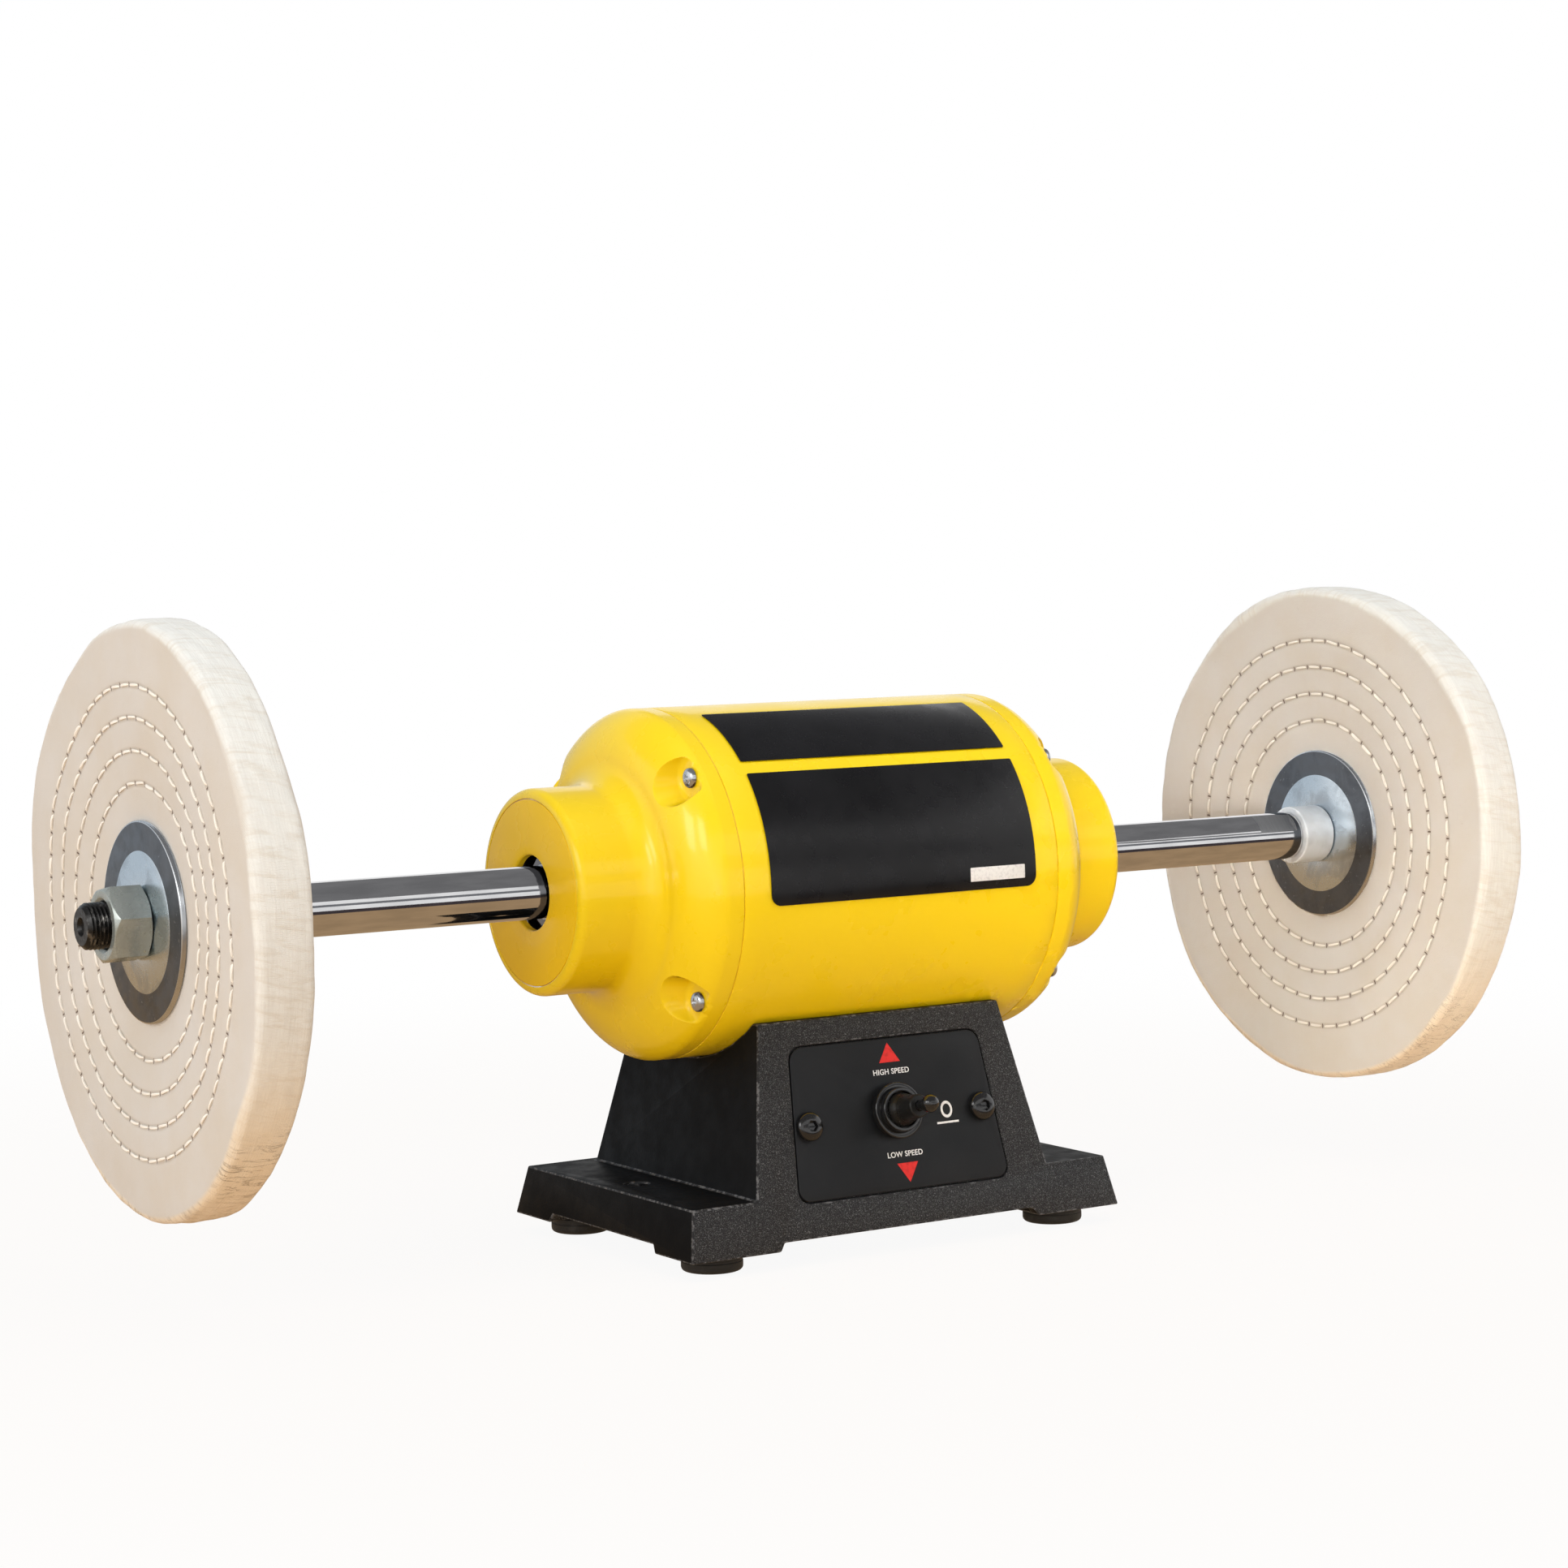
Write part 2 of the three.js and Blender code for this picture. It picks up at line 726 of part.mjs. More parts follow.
// Recess, window and screw holes of the front, in the frame of the sloping face.
function frontCuts() {
  const recessFloor = plateFace - plateThickness - fitGap;
  const recess = slab(plateOutline(plateMargin), recessFloor, cutOver);
  const opening = box(
    -windowHalfWidth,
    windowHalfWidth,
    toggleRise - windowHalfHeight,
    toggleRise + windowHalfHeight,
    -2 * castingWall,
    cutOver,
  );
  const screwHoles = [-plateScrewOffset, plateScrewOffset].map((x) =>
    uprightHole(x, -plateScrewDrop, -2 * castingWall, cutOver, plateScrewRadius + fitGap),
  );
  return [recess, opening, ...screwHoles].map((tool) => tool.applyMatrix4(front.matrix));
}

function rearCuts() {
  const hole = uprightHole(grommetOffset, grommetUp, -2 * castingWall, cutOver,
    grommetNeck + fitGap, smallFacets);
  const studHole = uprightHole(0, capacitorUp, -2 * castingWall, -castingWall / 2,
    clampStudRadius + fitGap);
  return [hole, studHole].map((tool) => tool.applyMatrix4(rear.matrix));
}

function baseCasting() {
  const saddle = rod(
    -pedestalHalfLength - cutOver,
    pedestalHalfLength + cutOver,
    saddleRadius,
    barrelFacets,
  ).translate(0, 0, axisHeight);
  const outside = cut(castingOutside(), saddle);
  const shell = cut(outside, castingHollow());
  const inside = common(join(castingBosses(), ...footPads()), outside);
  return cut(join(shell, inside), ...castingHoles(), ...frontCuts(), ...rearCuts());
}

function foot() {
  const top = padHeight - fitGap;
  const throat = padHeight + padThickness + fitGap;
  return upright(
    [
      [0, 0],
      [0, footRadius - footRounding],
      [footRounding, footRadius],
      [top, footRadius],
      [top, footStemRadius],
      [throat, footStemRadius],
      [throat, footStemRadius + footBulbSwell],
      [throat + footBulbHeight, footStemRadius],
      [throat + footBulbHeight, 0],
    ],
    rubberFacets,
  );
}

function bottomPlate() {
  const padEdge = skirtHalfLength - padLength - bottomPlateMargin;
  const padFront = skirtHalfDepth - padDepth - bottomPlateMargin;
  const wallAt = skirtHalfDepth - castingWall - (bottomPlateHigh - padHeight) * Math.tan(faceLean);
  const wide = bottomPlateHalfLength;
  const deep = wallAt - bottomPlateMargin;
  const outline = [
    [-wide, -padFront],
    [-padEdge, -padFront],
    [-padEdge, -deep],
    [padEdge, -deep],
    [padEdge, -padFront],
    [wide, -padFront],
    [wide, padFront],
    [padEdge, padFront],
    [padEdge, deep],
    [-padEdge, deep],
    [-padEdge, padFront],
    [-wide, padFront],
  ];
  const holes = corners(coverScrewOffsetX, coverScrewOffsetY).map(([, x, y]) =>
    uprightHole(x, y, padHeight, skirtTop, coverScrewRadius + fitGap),
  );
  return cut(slab(shapeOf(outline), bottomPlateLow, bottomPlateHigh), ...holes);
}

// Screw with its head's underside at height zero, the head above and the shank below.
function panScrew(headRadius, headHeight, shankRadius, shankLength) {
  return upright(
    [
      [-shankLength, 0],
      [-shankLength, shankRadius],
      [0, shankRadius],
      [0, headRadius],
      [headHeight, headRadius * headCrownShare],
      [headHeight, 0],
    ],
    screwFacets,
  );
}

function switchPlate() {
  const body = slab(plateOutline(0), plateFace - plateThickness, plateFace);
  const bushingHole = uprightHole(0, toggleRise, -castingWall, cutOver, bushingRadius + fitGap,
    smallFacets);
  const screwHoles = [-plateScrewOffset, plateScrewOffset].map((x) =>
    uprightHole(x, -plateScrewDrop, -castingWall, cutOver, plateScrewRadius + fitGap),
  );
  return cut(body, bushingHole, ...screwHoles);
}

// The switch pieces stand on the plate's face at height zero, on the toggle's own axis.
function switchBody() {
  const top = -plateThickness - fitGap;
  const body = box(-switchWidth / 2, switchWidth / 2, -switchHeight / 2, switchHeight / 2,
    top - switchDepth, top);
  const bushing = uprightHole(0, 0, top - fitGap, bushingReach, bushingRadius, smallFacets);
  const boreFloor = pivotHeight - leverTailLength - cutOver;
  const bore = uprightHole(0, 0, boreFloor, bushingReach + cutOver, bushingBore, smallFacets);
  return cut(join(body, bushing), bore);
}

function switchNut() {
  const low = fitGap;
  const collarTop = low + switchNutHeight + bootCollarHeight;
  return upright(
    [
      [low, bootCollarBore],
      [low, switchNutRadius],
      [low + switchNutHeight, switchNutRadius - switchNutBevel],
      [low + switchNutHeight, bootCollarRadius],
      [collarTop, bootCollarRadius - switchNutBevel],
      [collarTop, bootCollarBore],
    ],
    smallFacets,
  );
}

// Rubber sleeve round the lever: a part ball that turns in the nut, and a cone that narrows to the lever.
function toggleBoot() {
  const bore = leverRadius + fitGap;
  const lowTurn = -Math.asin(bootSkirt / bootBallRadius);
  const ballPoints = [];
  for (let i = 0; i <= bootBallSteps; i++) {
    const turn = lowTurn + (i / bootBallSteps) * (bootBallTop - lowTurn);
    ballPoints.push([bootBallRadius * Math.sin(turn), bootBallRadius * Math.cos(turn)]);
  }
  const top = bootTopHeight - pivotHeight;
  return upright(
    [[-bootSkirt, bore], ...ballPoints, [top - bootTopRadius, bootTopRadius],
      [top, bootTopRadius - leverRadius / 2], [top, bore]],
    rubberFacets,
  );
}

function toggleLever() {
  const ball = leverBallHeight - pivotHeight;
  const ballPoints = [];
  const neckTurn = Math.acos(leverRadius / leverBallRadius);
  for (let i = 0; i <= leverBallSteps; i++) {
    const turn = -neckTurn + (i / leverBallSteps) * (neckTurn + Math.PI / 2);
    ballPoints.push([ball + leverBallRadius * Math.sin(turn), leverBallRadius * Math.cos(turn)]);
  }
  ballPoints[ballPoints.length - 1][1] = 0;
  return upright(
    [
      [-leverTailLength, 0],
      [-leverTailLength, leverTailRadius],
      [-leverTailRadius, leverTailRadius],
      [-leverTailRadius, leverRadius],
      ...ballPoints,
    ],
    screwFacets,
  );
}

function motorHousing() {
  const barrel = ring(-housingEnd, housingEnd, barrelInner, barrelRadius, barrelFacets);
  const lugStart = housingEnd - lugLength;
  const lugs = [];
  const threads = [];
  for (const [, turn] of sides) {
    for (const angle of bellScrewAngles) {
      lugs.push(screwRod(angle, lugStart, housingEnd, lugRadius, screwFacets).rotateZ(turn));
      threads.push(
        screwRod(angle, lugStart - cutOver, housingEnd + cutOver, bellScrewRadius + fitGap, screwFacets)
          .rotateZ(turn),
      );
    }
  }
  const within = rod(-housingEnd, housingEnd, barrelInner + barrelWall / 2, barrelFacets);
  const bossTop = -barrelInner + saddleBossHeight;
  const bosses = [-saddleBoltOffset, saddleBoltOffset].map((x) =>
    uprightHole(x, 0, -barrelRadius, bossTop, saddleBossRadius, smallFacets),
  );
  const inner = common(join(...lugs, ...bosses), within);
  const boltHoles = [-saddleBoltOffset, saddleBoltOffset].map((x) =>
    uprightHole(x, 0, -barrelRadius - cutOver, bossTop + cutOver, saddleBoltRadius + fitGap),
  );
  const leadHole = uprightHole(leadHoleOffset, -leadHoleFront, -barrelRadius - cutOver,
    -windingOuter, leadHoleRadius);
  return cut(join(barrel, inner), ...threads, ...boltHoles, leadHole);
}

function labelPanel(low, high) {
  const inner = barrelRadius + fitGap;
  const outline = new THREE.Shape();
  outline.absarc(0, 0, inner + labelThickness, Math.PI - high, Math.PI - low, false);
  outline.absarc(0, 0, inner, Math.PI - low, Math.PI - high, true);
  const steps = Math.ceil(((high - low) / (2 * Math.PI)) * barrelFacets);
  return slab(outline, -labelHalfLength, labelHalfLength, steps)
    .rotateY(Math.PI / 2)
    .rotateX(Math.PI / 2);
}

function endBell(endPlay) {
  const neckX = domeEnd + neckFillet;
  const neckR = bossRadius + neckFillet;
  const innerR = barrelInner - fitGap - spigotWall;
  const pocketBottom = bearingEnd + fitGap + endPlay;
  const seatRadius = bearingRadius + fitGap;
  const hubBack = bearingOffset - fitGap;
  const dome = quarter(domeStart, barrelRadius, domeLength, barrelRadius - neckR, domeFullness, domeSteps);
  const neck = hollowQuarter(neckX, neckR, neckFillet, neckSteps).slice(1);
  const edge = quarter(bellFace - bossRounding, bossRadius, bossRounding, bossRounding, 2, edgeSteps);
  const innerLength = domeLength - bellWall;
  const innerDome = quarter(domeStart, innerR, innerLength, innerR - neckR, domeFullness, insideSteps);
  const innerNeck = hollowQuarter(neckX, neckR, neckFillet + bellWall, insideSteps).slice(1, -1);
  const outside = [[bellStart, 0], [bellStart, barrelRadius], ...dome, ...neck, ...edge, [bellFace, 0]];
  const shell = turned(
    [
      [bellStart, barrelRadius],
      ...dome,
      ...neck,
      ...edge,
      [bellFace, coverRadius + fitGap],
      [coverRecess, coverRadius + fitGap],
      [coverRecess, noseBore],
      [pocketBottom, noseBore],
      [pocketBottom, seatRadius],
      [hubBack, seatRadius],
      [hubBack, neckR - neckFillet - bellWall],
      ...innerNeck.reverse(),
      ...innerDome.slice(0, -1).reverse(),
      [bellStart - spigotLength, innerR],
      [bellStart - spigotLength, innerR + spigotWall],
      [bellStart, innerR + spigotWall],
    ],
    bellFacets,
  );
  const bossEnd = domeStart + innerLength;
  const bosses = bellScrewAngles.map((angle) =>
    screwRod(angle, bellStart, bossEnd, pocketRadius + pocketWall, screwFacets),
  );
  const solidBosses = common(join(...bosses), turned(outside, bellFacets));
  const cuts = bellScrewAngles.flatMap((angle) => [
    screwRod(angle, pocketFloor, bellFace, pocketRadius, pocketFacets),
    screwRod(angle, bellStart - cutOver, pocketFloor + cutOver, bellScrewRadius + fitGap, screwFacets),
    screwRod(angle, bellStart - spigotLength - cutOver, bellStart, lugRadius + fitGap, screwFacets),
  ]);
  return cut(join(shell, solidBosses), ...cuts);
}

function bellCover() {
  return ring(bellFace - coverThickness, bellFace, coverBore, coverRadius, innerFacets);
}

function bellScrew(angle) {
  const [y, z] = screwPlace(angle);
  return panScrew(bellHeadRadius, bellHeadHeight, bellScrewRadius, bellScrewLength)
    .rotateY(Math.PI / 2)
    .translate(pocketFloor + fitGap, y, z);
}

function saddleBolt() {
  const headTop = saddleUnderside - fitGap;
  const tip = axisHeight - barrelInner + saddleBossHeight - fitGap;
  const head = slab(hexagon(saddleHeadFlats), headTop - saddleHeadHeight, headTop);
  return join(head, uprightHole(0, 0, headTop - saddleHeadHeight / 2, tip, saddleBoltRadius));
}

function statorCore() {
  const outer = barrelInner - fitGap;
  const body = ring(-coreHalfLength, coreHalfLength, statorBore, outer, barrelFacets);
  const slots = [];
  for (let i = 0; i < slotCount; i++) {
    const turn = ((i + 0.5) * 2 * Math.PI) / slotCount;
    slots.push(
      box(
        -coreHalfLength - cutOver,
        coreHalfLength + cutOver,
        -slotHalfWidth,
        slotHalfWidth,
        0,
        statorBore + slotDepth,
      ).rotateX(turn),
    );
  }
  return cut(body, ...slots);
}

function statorWinding() {
  const from = coreHalfLength + fitGap;
  const to = from + windingLength;
  return turned(
    [
      [from, windingInner],
      [from, windingOuter],
      [(from + to) / 2, windingOuter],
      [to, (windingInner + windingOuter) / 2],
      [(from + to) / 2, windingInner],
    ],
    innerFacets,
  );
}

function rotorCore() {
  const bore = shaftCoreRadius + fitGap;
  const end = coreHalfLength + endRingLength;
  return turned(
    [
      [-end, endRingInner],
      [-end, rotorRadius],
      [end, rotorRadius],
      [end, endRingInner],
      [coreHalfLength, endRingInner],
      [coreHalfLength, bore],
      [-coreHalfLength, bore],
      [-coreHalfLength, endRingInner],
    ],
    innerFacets,
  );
}

// Points of a ball groove, from the inner side of the bearing to the outer; outward is 1 for the outer ring.
function groove(outward) {
  const radius = ballRadius + ballGap;
  const reach = Math.acos(raceShoulder / radius);
  const points = [];
  for (let i = 0; i <= grooveSteps; i++) {
    const turn = (2 * (i / grooveSteps) - 1) * reach;
    const x = bearingMiddle + radius * Math.sin(turn);
    points.push([x, ballCircle + outward * radius * Math.cos(turn)]);
  }
  return points;
}

function bearingOuter() {
  const bore = ballCircle + raceShoulder;
  return turned(
    [[bearingEnd, bore], [bearingEnd, bearingRadius], [bearingOffset, bearingRadius],
      [bearingOffset, bore], ...groove(1)],
    innerFacets,
  );
}

function bearingInner() {
  const outer = ballCircle - raceShoulder;
  return turned(
    [[bearingEnd, outer], [bearingEnd, bearingBore + fitGap], [bearingOffset, bearingBore + fitGap],
      [bearingOffset, outer], ...groove(-1)],
    innerFacets,
  );
}

function ballCage() {
  const band = ring(
    bearingMiddle - cageWidth / 2,
    bearingMiddle + cageWidth / 2,
    ballCircle - cageThickness / 2,
    ballCircle + cageThickness / 2,
    ballCount,
  );
  const balls = [];
  for (let i = 0; i < ballCount; i++) {
    const turn = (2 * Math.PI * i) / ballCount;
    balls.push(
      new THREE.SphereGeometry(ballRadius, ballFacets, ballRows)
        .translate(bearingMiddle, ballCircle, 0)
        .rotateX(turn),
    );
  }
  return join(band, ...balls);
}

// Spring steel ring whose height waves round the shaft's axis.
function waveWasher() {
  const low = bearingEnd + fitGap + washerWave;
  const washer = ring(low, low + washerThickness, washerInner, bearingRadius - fitGap, smallFacets);
  const corner = washer.attributes.position;
  for (let i = 0; i < corner.count; i++) {
    const turn = Math.atan2(corner.getZ(i), corner.getY(i));
    corner.setX(i, corner.getX(i) + washerWave * Math.sin(washerWaves * turn));
  }
  return washer;
}

function spindleShaft() {
  const seatEnd = bearingOffset + bearingSeatLength;
  const half = [
    [bearingOffset - fitGap, shaftCoreRadius],
    [bearingOffset - fitGap, bearingBore],
    [seatEnd, bearingBore],
    [seatEnd, shaftRadius],
    [shaftShoulder, shaftRadius],
    [shaftShoulder, arborRadius],
    [arborEnd - arborChamfer, arborRadius],
    [arborEnd, arborRadius - arborChamfer],
    [arborEnd, 0],
  ];
  const mirrored = half.map(([x, r]) => [-x, r]).reverse();
  const bar = turned([...mirrored, ...half], innerFacets);
  const flatEnd = shaftShoulder - flatGap;
  const flats = sides.flatMap(([, turn]) =>
    [0, Math.PI].map((roll) =>
      box(
        flatEnd - flatLength,
        flatEnd,
        -shaftRadius,
        shaftRadius,
        shaftRadius - flatDepth,
        shaftRadius + cutOver,
      )
        .rotateZ(turn)
        .rotateX(flatTurn + roll),
    ),
  );
  return cut(bar, ...flats);
}

function spacer() {
  return ring(shaftShoulder + fitGap, innerFlangeBack - fitGap, arborBore, spacerRadius, innerFacets);
}

// Flange with a raised centre, its rim on the wheel's side; outward is 1 for the outer flange.
function flange(outward) {
  const face = outward > 0 ? outerFlangeFace : innerFlangeBack;
  const step = face - outward * flangeCentreStep;
  const cloth = face - outward * flangeThickness;
  return turned(
    [
      [face, arborBore],
      [face, flangeCentreRadius],
      [step, flangeCentreRadius],
      [step, flangeRadius],
      [cloth, flangeRadius],
      [cloth, arborBore],
    ],
    innerFacets,
  );
}

// Half width of the wheel at a radius: pressed flat by the flanges and spread towards the rim.
function wheelHalfWidth(radius) {
  const way = Math.min(1, (radius - flangeRadius) / (flareShare * (wheelRadius - flangeRadius)));
  const spread = Math.sin((Math.max(0, way) * Math.PI) / 2);
  return (wheelHubWidth + (wheelRimWidth - wheelHubWidth) * spread) / 2;
}

function buffingWheel() {
  const side = [[wheelHubWidth / 2, arborBore], [wheelHubWidth / 2, flangeRadius]];
  for (let i = 0; i < stitchRings; i++) {
    const radius = stitchFirstRadius + i * stitchPitch;
    const crest = radius - stitchPitch / 2;
    side.push([wheelHalfWidth(crest), crest]);
    side.push([wheelHalfWidth(radius) - stitchSink, radius]);
  }
  side.push([wheelRimWidth / 2, wheelRadius - rimRounding]);
  side.push([wheelRimWidth / 2 - rimRounding, wheelRadius]);
  const other = side.map(([x, r]) => [-x, r]).reverse();
  return turned([...side, ...other], wheelFacets).translate(wheelOffset, 0, 0);
}

function arborNut() {
  const corner = nutFlats / Math.sqrt(3);
  const hexBar = slab(hexagon(nutFlats), nutStart, nutEnd).rotateY(Math.PI / 2);
  const round = turned(
    [
      [nutStart, 0],
      [nutStart, nutFlats / 2],
      [nutStart + nutChamfer / 2, corner],
      [nutEnd - nutChamfer, corner],
      [nutEnd, nutFlats / 2 - nutChamfer / 2],
      [nutEnd, 0],
    ],
    smallFacets,
  );
  return cut(common(hexBar, round), rod(nutStart - cutOver, nutEnd + cutOver, arborBore, smallFacets));
}

// The capacitor and its clamp lie along X against the inside of the rear wall.
function capacitor() {
  return rod(-capacitorHalfLength, capacitorHalfLength, capacitorRadius, smallFacets)
    .translate(0, capacitorUp, capacitorDepth);
}

function capacitorClamp() {
  const inner = capacitorRadius + fitGap;
  const band = ring(-clampHalfWidth, clampHalfWidth, inner, inner + clampThickness, smallFacets)
    .translate(0, capacitorUp, capacitorDepth);
  const footPlate = box(
    -clampHalfWidth,
    clampHalfWidth,
    capacitorUp - clampFootHalf,
    capacitorUp + clampFootHalf,
    clampBack,
    clampWallGap,
  );
  const stud = uprightHole(0, capacitorUp, clampWallGap - clampThickness / 2,
    -castingWall / 2 - fitGap, clampStudRadius);
  return join(band, footPlate, stud);
}

// Grommet round the edge of its hole, on the rear wall's axis.
function cordGrommet() {
  const outside = fitGap;
  const inside = -castingWall - fitGap;
  return upright(
    [
      [outside + grommetFlangeHeight, grommetBore],
      [outside + grommetFlangeHeight, grommetFlange - grommetFlangeHeight / 2],
      [outside, grommetFlange],
      [outside, grommetNeck],
      [inside, grommetNeck],
      [inside, grommetFlange],
      [inside - grommetFlangeHeight, grommetFlange - grommetFlangeHeight / 2],
      [inside - grommetFlangeHeight, grommetBore],
    ],
    rubberFacets,
  );
}

// Leads from the back of the switch, up through the saddle, to the right winding.
function leadBundle() {
  const start = new THREE.Vector3(
    0,
    toggleRise,
    plateFace - plateThickness - 2 * fitGap - switchDepth,
  ).applyMatrix4(front.matrix);
  const away = new THREE.Vector3(0, 0, -1).transformDirection(front.matrix);
  const windingDrop = Math.sqrt(windingOuter ** 2 - (leadHoleFront - leadRadius) ** 2);
  const top = axisHeight - windingDrop - fitGap;
  const path = new THREE.CatmullRomCurve3([
    start,
    start.clone().addScaledVector(away, 2 * leadRadius),
    new THREE.Vector3(leadHoleOffset, -leadHoleFront, saddleUnderside - 4 * leadRadius),
    new THREE.Vector3(leadHoleOffset, -leadHoleFront, saddleUnderside - leadRadius),
    new THREE.Vector3(leadHoleOffset, -leadHoleFront, top),
  ]);
  const section = new THREE.Shape().absarc(0, 0, leadRadius, 0, 2 * Math.PI);
  return new THREE.ExtrudeGeometry(section, {
    steps: leadSteps,
    curveSegments: leadFacets / 2,
    bevelEnabled: false,
    extrudePath: path,
  });
}

function standGroup() {
  const group = new THREE.Group();
  group.add(piece("base_casting", baseCasting(), materials.casting));
  group.add(piece("bottom_plate", bottomPlate(), materials.blackSteel));
  for (const [corner, x, y] of corners(footOffsetX, footOffsetY)) {
    const rubber = piece("foot_" + corner, foot(), materials.rubber);
    rubber.position.set(x, y, 0);
    group.add(rubber);
  }
  for (const [corner, x, y] of corners(coverScrewOffsetX, coverScrewOffsetY)) {
    const shape = panScrew(coverHeadRadius, coverHeadHeight, coverScrewRadius,
      coverScrewLength + bottomPlateThickness);
    const screw = piece("cover_screw_" + corner, shape, materials.zinc);
    screw.rotation.x = Math.PI;
    screw.position.set(x, y, bottomPlateLow - fitGap);
    group.add(screw);
  }
  group.add(piece("lead_bundle", leadBundle(), materials.insulation));
  return group;
}

function frontGroup() {
  front.add(piece("switch_plate", switchPlate(), materials.plate));
  for (const [side, turn] of sides) {
    const shape = panScrew(plateHeadRadius, plateHeadHeight, plateScrewRadius, plateScrewLength);
    const screw = piece("plate_screw_" + side, shape, materials.blackSteel);
    screw.position.set(plateScrewOffset * Math.cos(turn), -plateScrewDrop, plateFace + fitGap);
    front.add(screw);
  }
  const toggle = new THREE.Group();
  toggle.position.set(0, toggleRise, plateFace);
  toggle.add(piece("toggle_switch_body", switchBody(), materials.blackPlastic));
  toggle.add(piece("switch_nut", switchNut(), materials.blackSteel));
  const pivot = new THREE.Group();
  pivot.position.z = pivotHeight;
  pivot.add(piece("toggle_boot", toggleBoot(), materials.rubber));
  pivot.add(piece("toggle_lever", toggleLever(), materials.blackPlastic));
  toggle.add(pivot);
  front.add(toggle);
  return front;
}

function rearGroup() {
  rear.add(piece("capacitor", capacitor(), materials.capacitor));
  rear.add(piece("capacitor_clamp", capacitorClamp(), materials.zinc));
  const grommet = piece("cord_grommet", cordGrommet(), materials.rubber);
  grommet.position.set(grommetOffset, grommetUp, 0);
  rear.add(grommet);
  return rear;
}

function motorGroup() {
  const group = new THREE.Group();
  group.position.z = axisHeight;
  group.add(piece("motor_housing", motorHousing(), materials.yellow));
  group.add(piece("stator_core", statorCore(), materials.laminations));
  group.add(piece("label_lower", labelPanel(...lowerLabelAngles), materials.label));
  group.add(piece("label_upper", labelPanel(...upperLabelAngles), materials.label));
  for (const [side, turn] of sides) {
    const end = new THREE.Group();
    end.rotation.z = turn;
    const endPlay = side === "left" ? washerSpace : 0;
    end.add(piece("end_bell_" + side, endBell(endPlay), materials.yellow));
    end.add(piece("bell_cover_" + side, bellCover(), materials.yellow));
    end.add(piece("bearing_outer_" + side, bearingOuter(), materials.steel));
    end.add(piece("stator_winding_" + side, statorWinding(), materials.copper));
    if (side === "left") end.add(piece("wave_washer", waveWasher(), materials.steel));
    bellScrewAngles.forEach((angle, i) => {
      end.add(piece(`bell_screw_${side}_${i + 1}`, bellScrew(angle), materials.zinc));
    });
    group.add(end);
    const bolt = piece("saddle_bolt_" + side, saddleBolt(), materials.zinc);
    bolt.position.set(saddleBoltOffset * Math.cos(turn), 0, -axisHeight);
    group.add(bolt);
  }
  return group;
}

function spindleGroup() {
  const group = new THREE.Group();
  group.position.z = axisHeight;
  group.add(piece("spindle_shaft", spindleShaft(), materials.steel));
  group.add(piece("rotor_core", rotorCore(), materials.laminations));
  for (const [side, turn] of sides) {
    const end = new THREE.Group();
    end.rotation.z = turn;
    end.add(piece("bearing_inner_" + side, bearingInner(), materials.steel));
    end.add(piece("ball_cage_" + side, ballCage(), materials.steel));
    end.add(piece("spacer_" + side, spacer(), materials.collar));
    end.add(piece("flange_inner_" + side, flange(-1), materials.zinc));
    end.add(piece("flange_outer_" + side, flange(1), materials.zinc));
    end.add(piece("buffing_wheel_" + side, buffingWheel(), materials.cotton));
    end.add(piece("arbor_nut_" + side, arborNut(), materials.zinc));
    group.add(end);
  }
  return group;
}

const benchBuffer = new THREE.Group();
benchBuffer.add(standGroup(), frontGroup(), rearGroup(), motorGroup(), spindleGroup());

export default benchBuffer;
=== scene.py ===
"""Looks of a bench buffer: casting, switch, yellow motor, polished shaft and sewn cotton wheels."""

import json
import math
from contextlib import contextmanager

import bmesh
import bpy
import numpy as np
from mathutils import Matrix, Vector


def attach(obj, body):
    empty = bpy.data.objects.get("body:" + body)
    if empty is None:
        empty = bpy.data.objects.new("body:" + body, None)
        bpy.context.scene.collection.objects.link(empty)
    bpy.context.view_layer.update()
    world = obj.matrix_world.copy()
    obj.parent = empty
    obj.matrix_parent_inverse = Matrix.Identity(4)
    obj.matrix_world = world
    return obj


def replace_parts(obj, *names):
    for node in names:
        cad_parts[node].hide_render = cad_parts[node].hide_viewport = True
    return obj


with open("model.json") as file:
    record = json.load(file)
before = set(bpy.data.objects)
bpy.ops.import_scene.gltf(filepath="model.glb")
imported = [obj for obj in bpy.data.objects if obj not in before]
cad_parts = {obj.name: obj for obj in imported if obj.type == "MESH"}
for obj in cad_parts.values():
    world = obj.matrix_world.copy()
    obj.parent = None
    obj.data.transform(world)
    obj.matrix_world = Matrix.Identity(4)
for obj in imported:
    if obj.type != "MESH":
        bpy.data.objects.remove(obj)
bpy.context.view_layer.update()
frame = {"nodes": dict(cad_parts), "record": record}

bl_info = {
    "name": "Bench buffer",
    "version": (1, 0, 0),
    "blender": (4, 5, 0),
    "location": "3D View > Sidebar > Buffer",
    "description": "Models and finishes a bench buffer, piece by piece",
    "category": "Object",
}

MM = 0.001
SIDES = (("left", math.pi), ("right", 0.0))

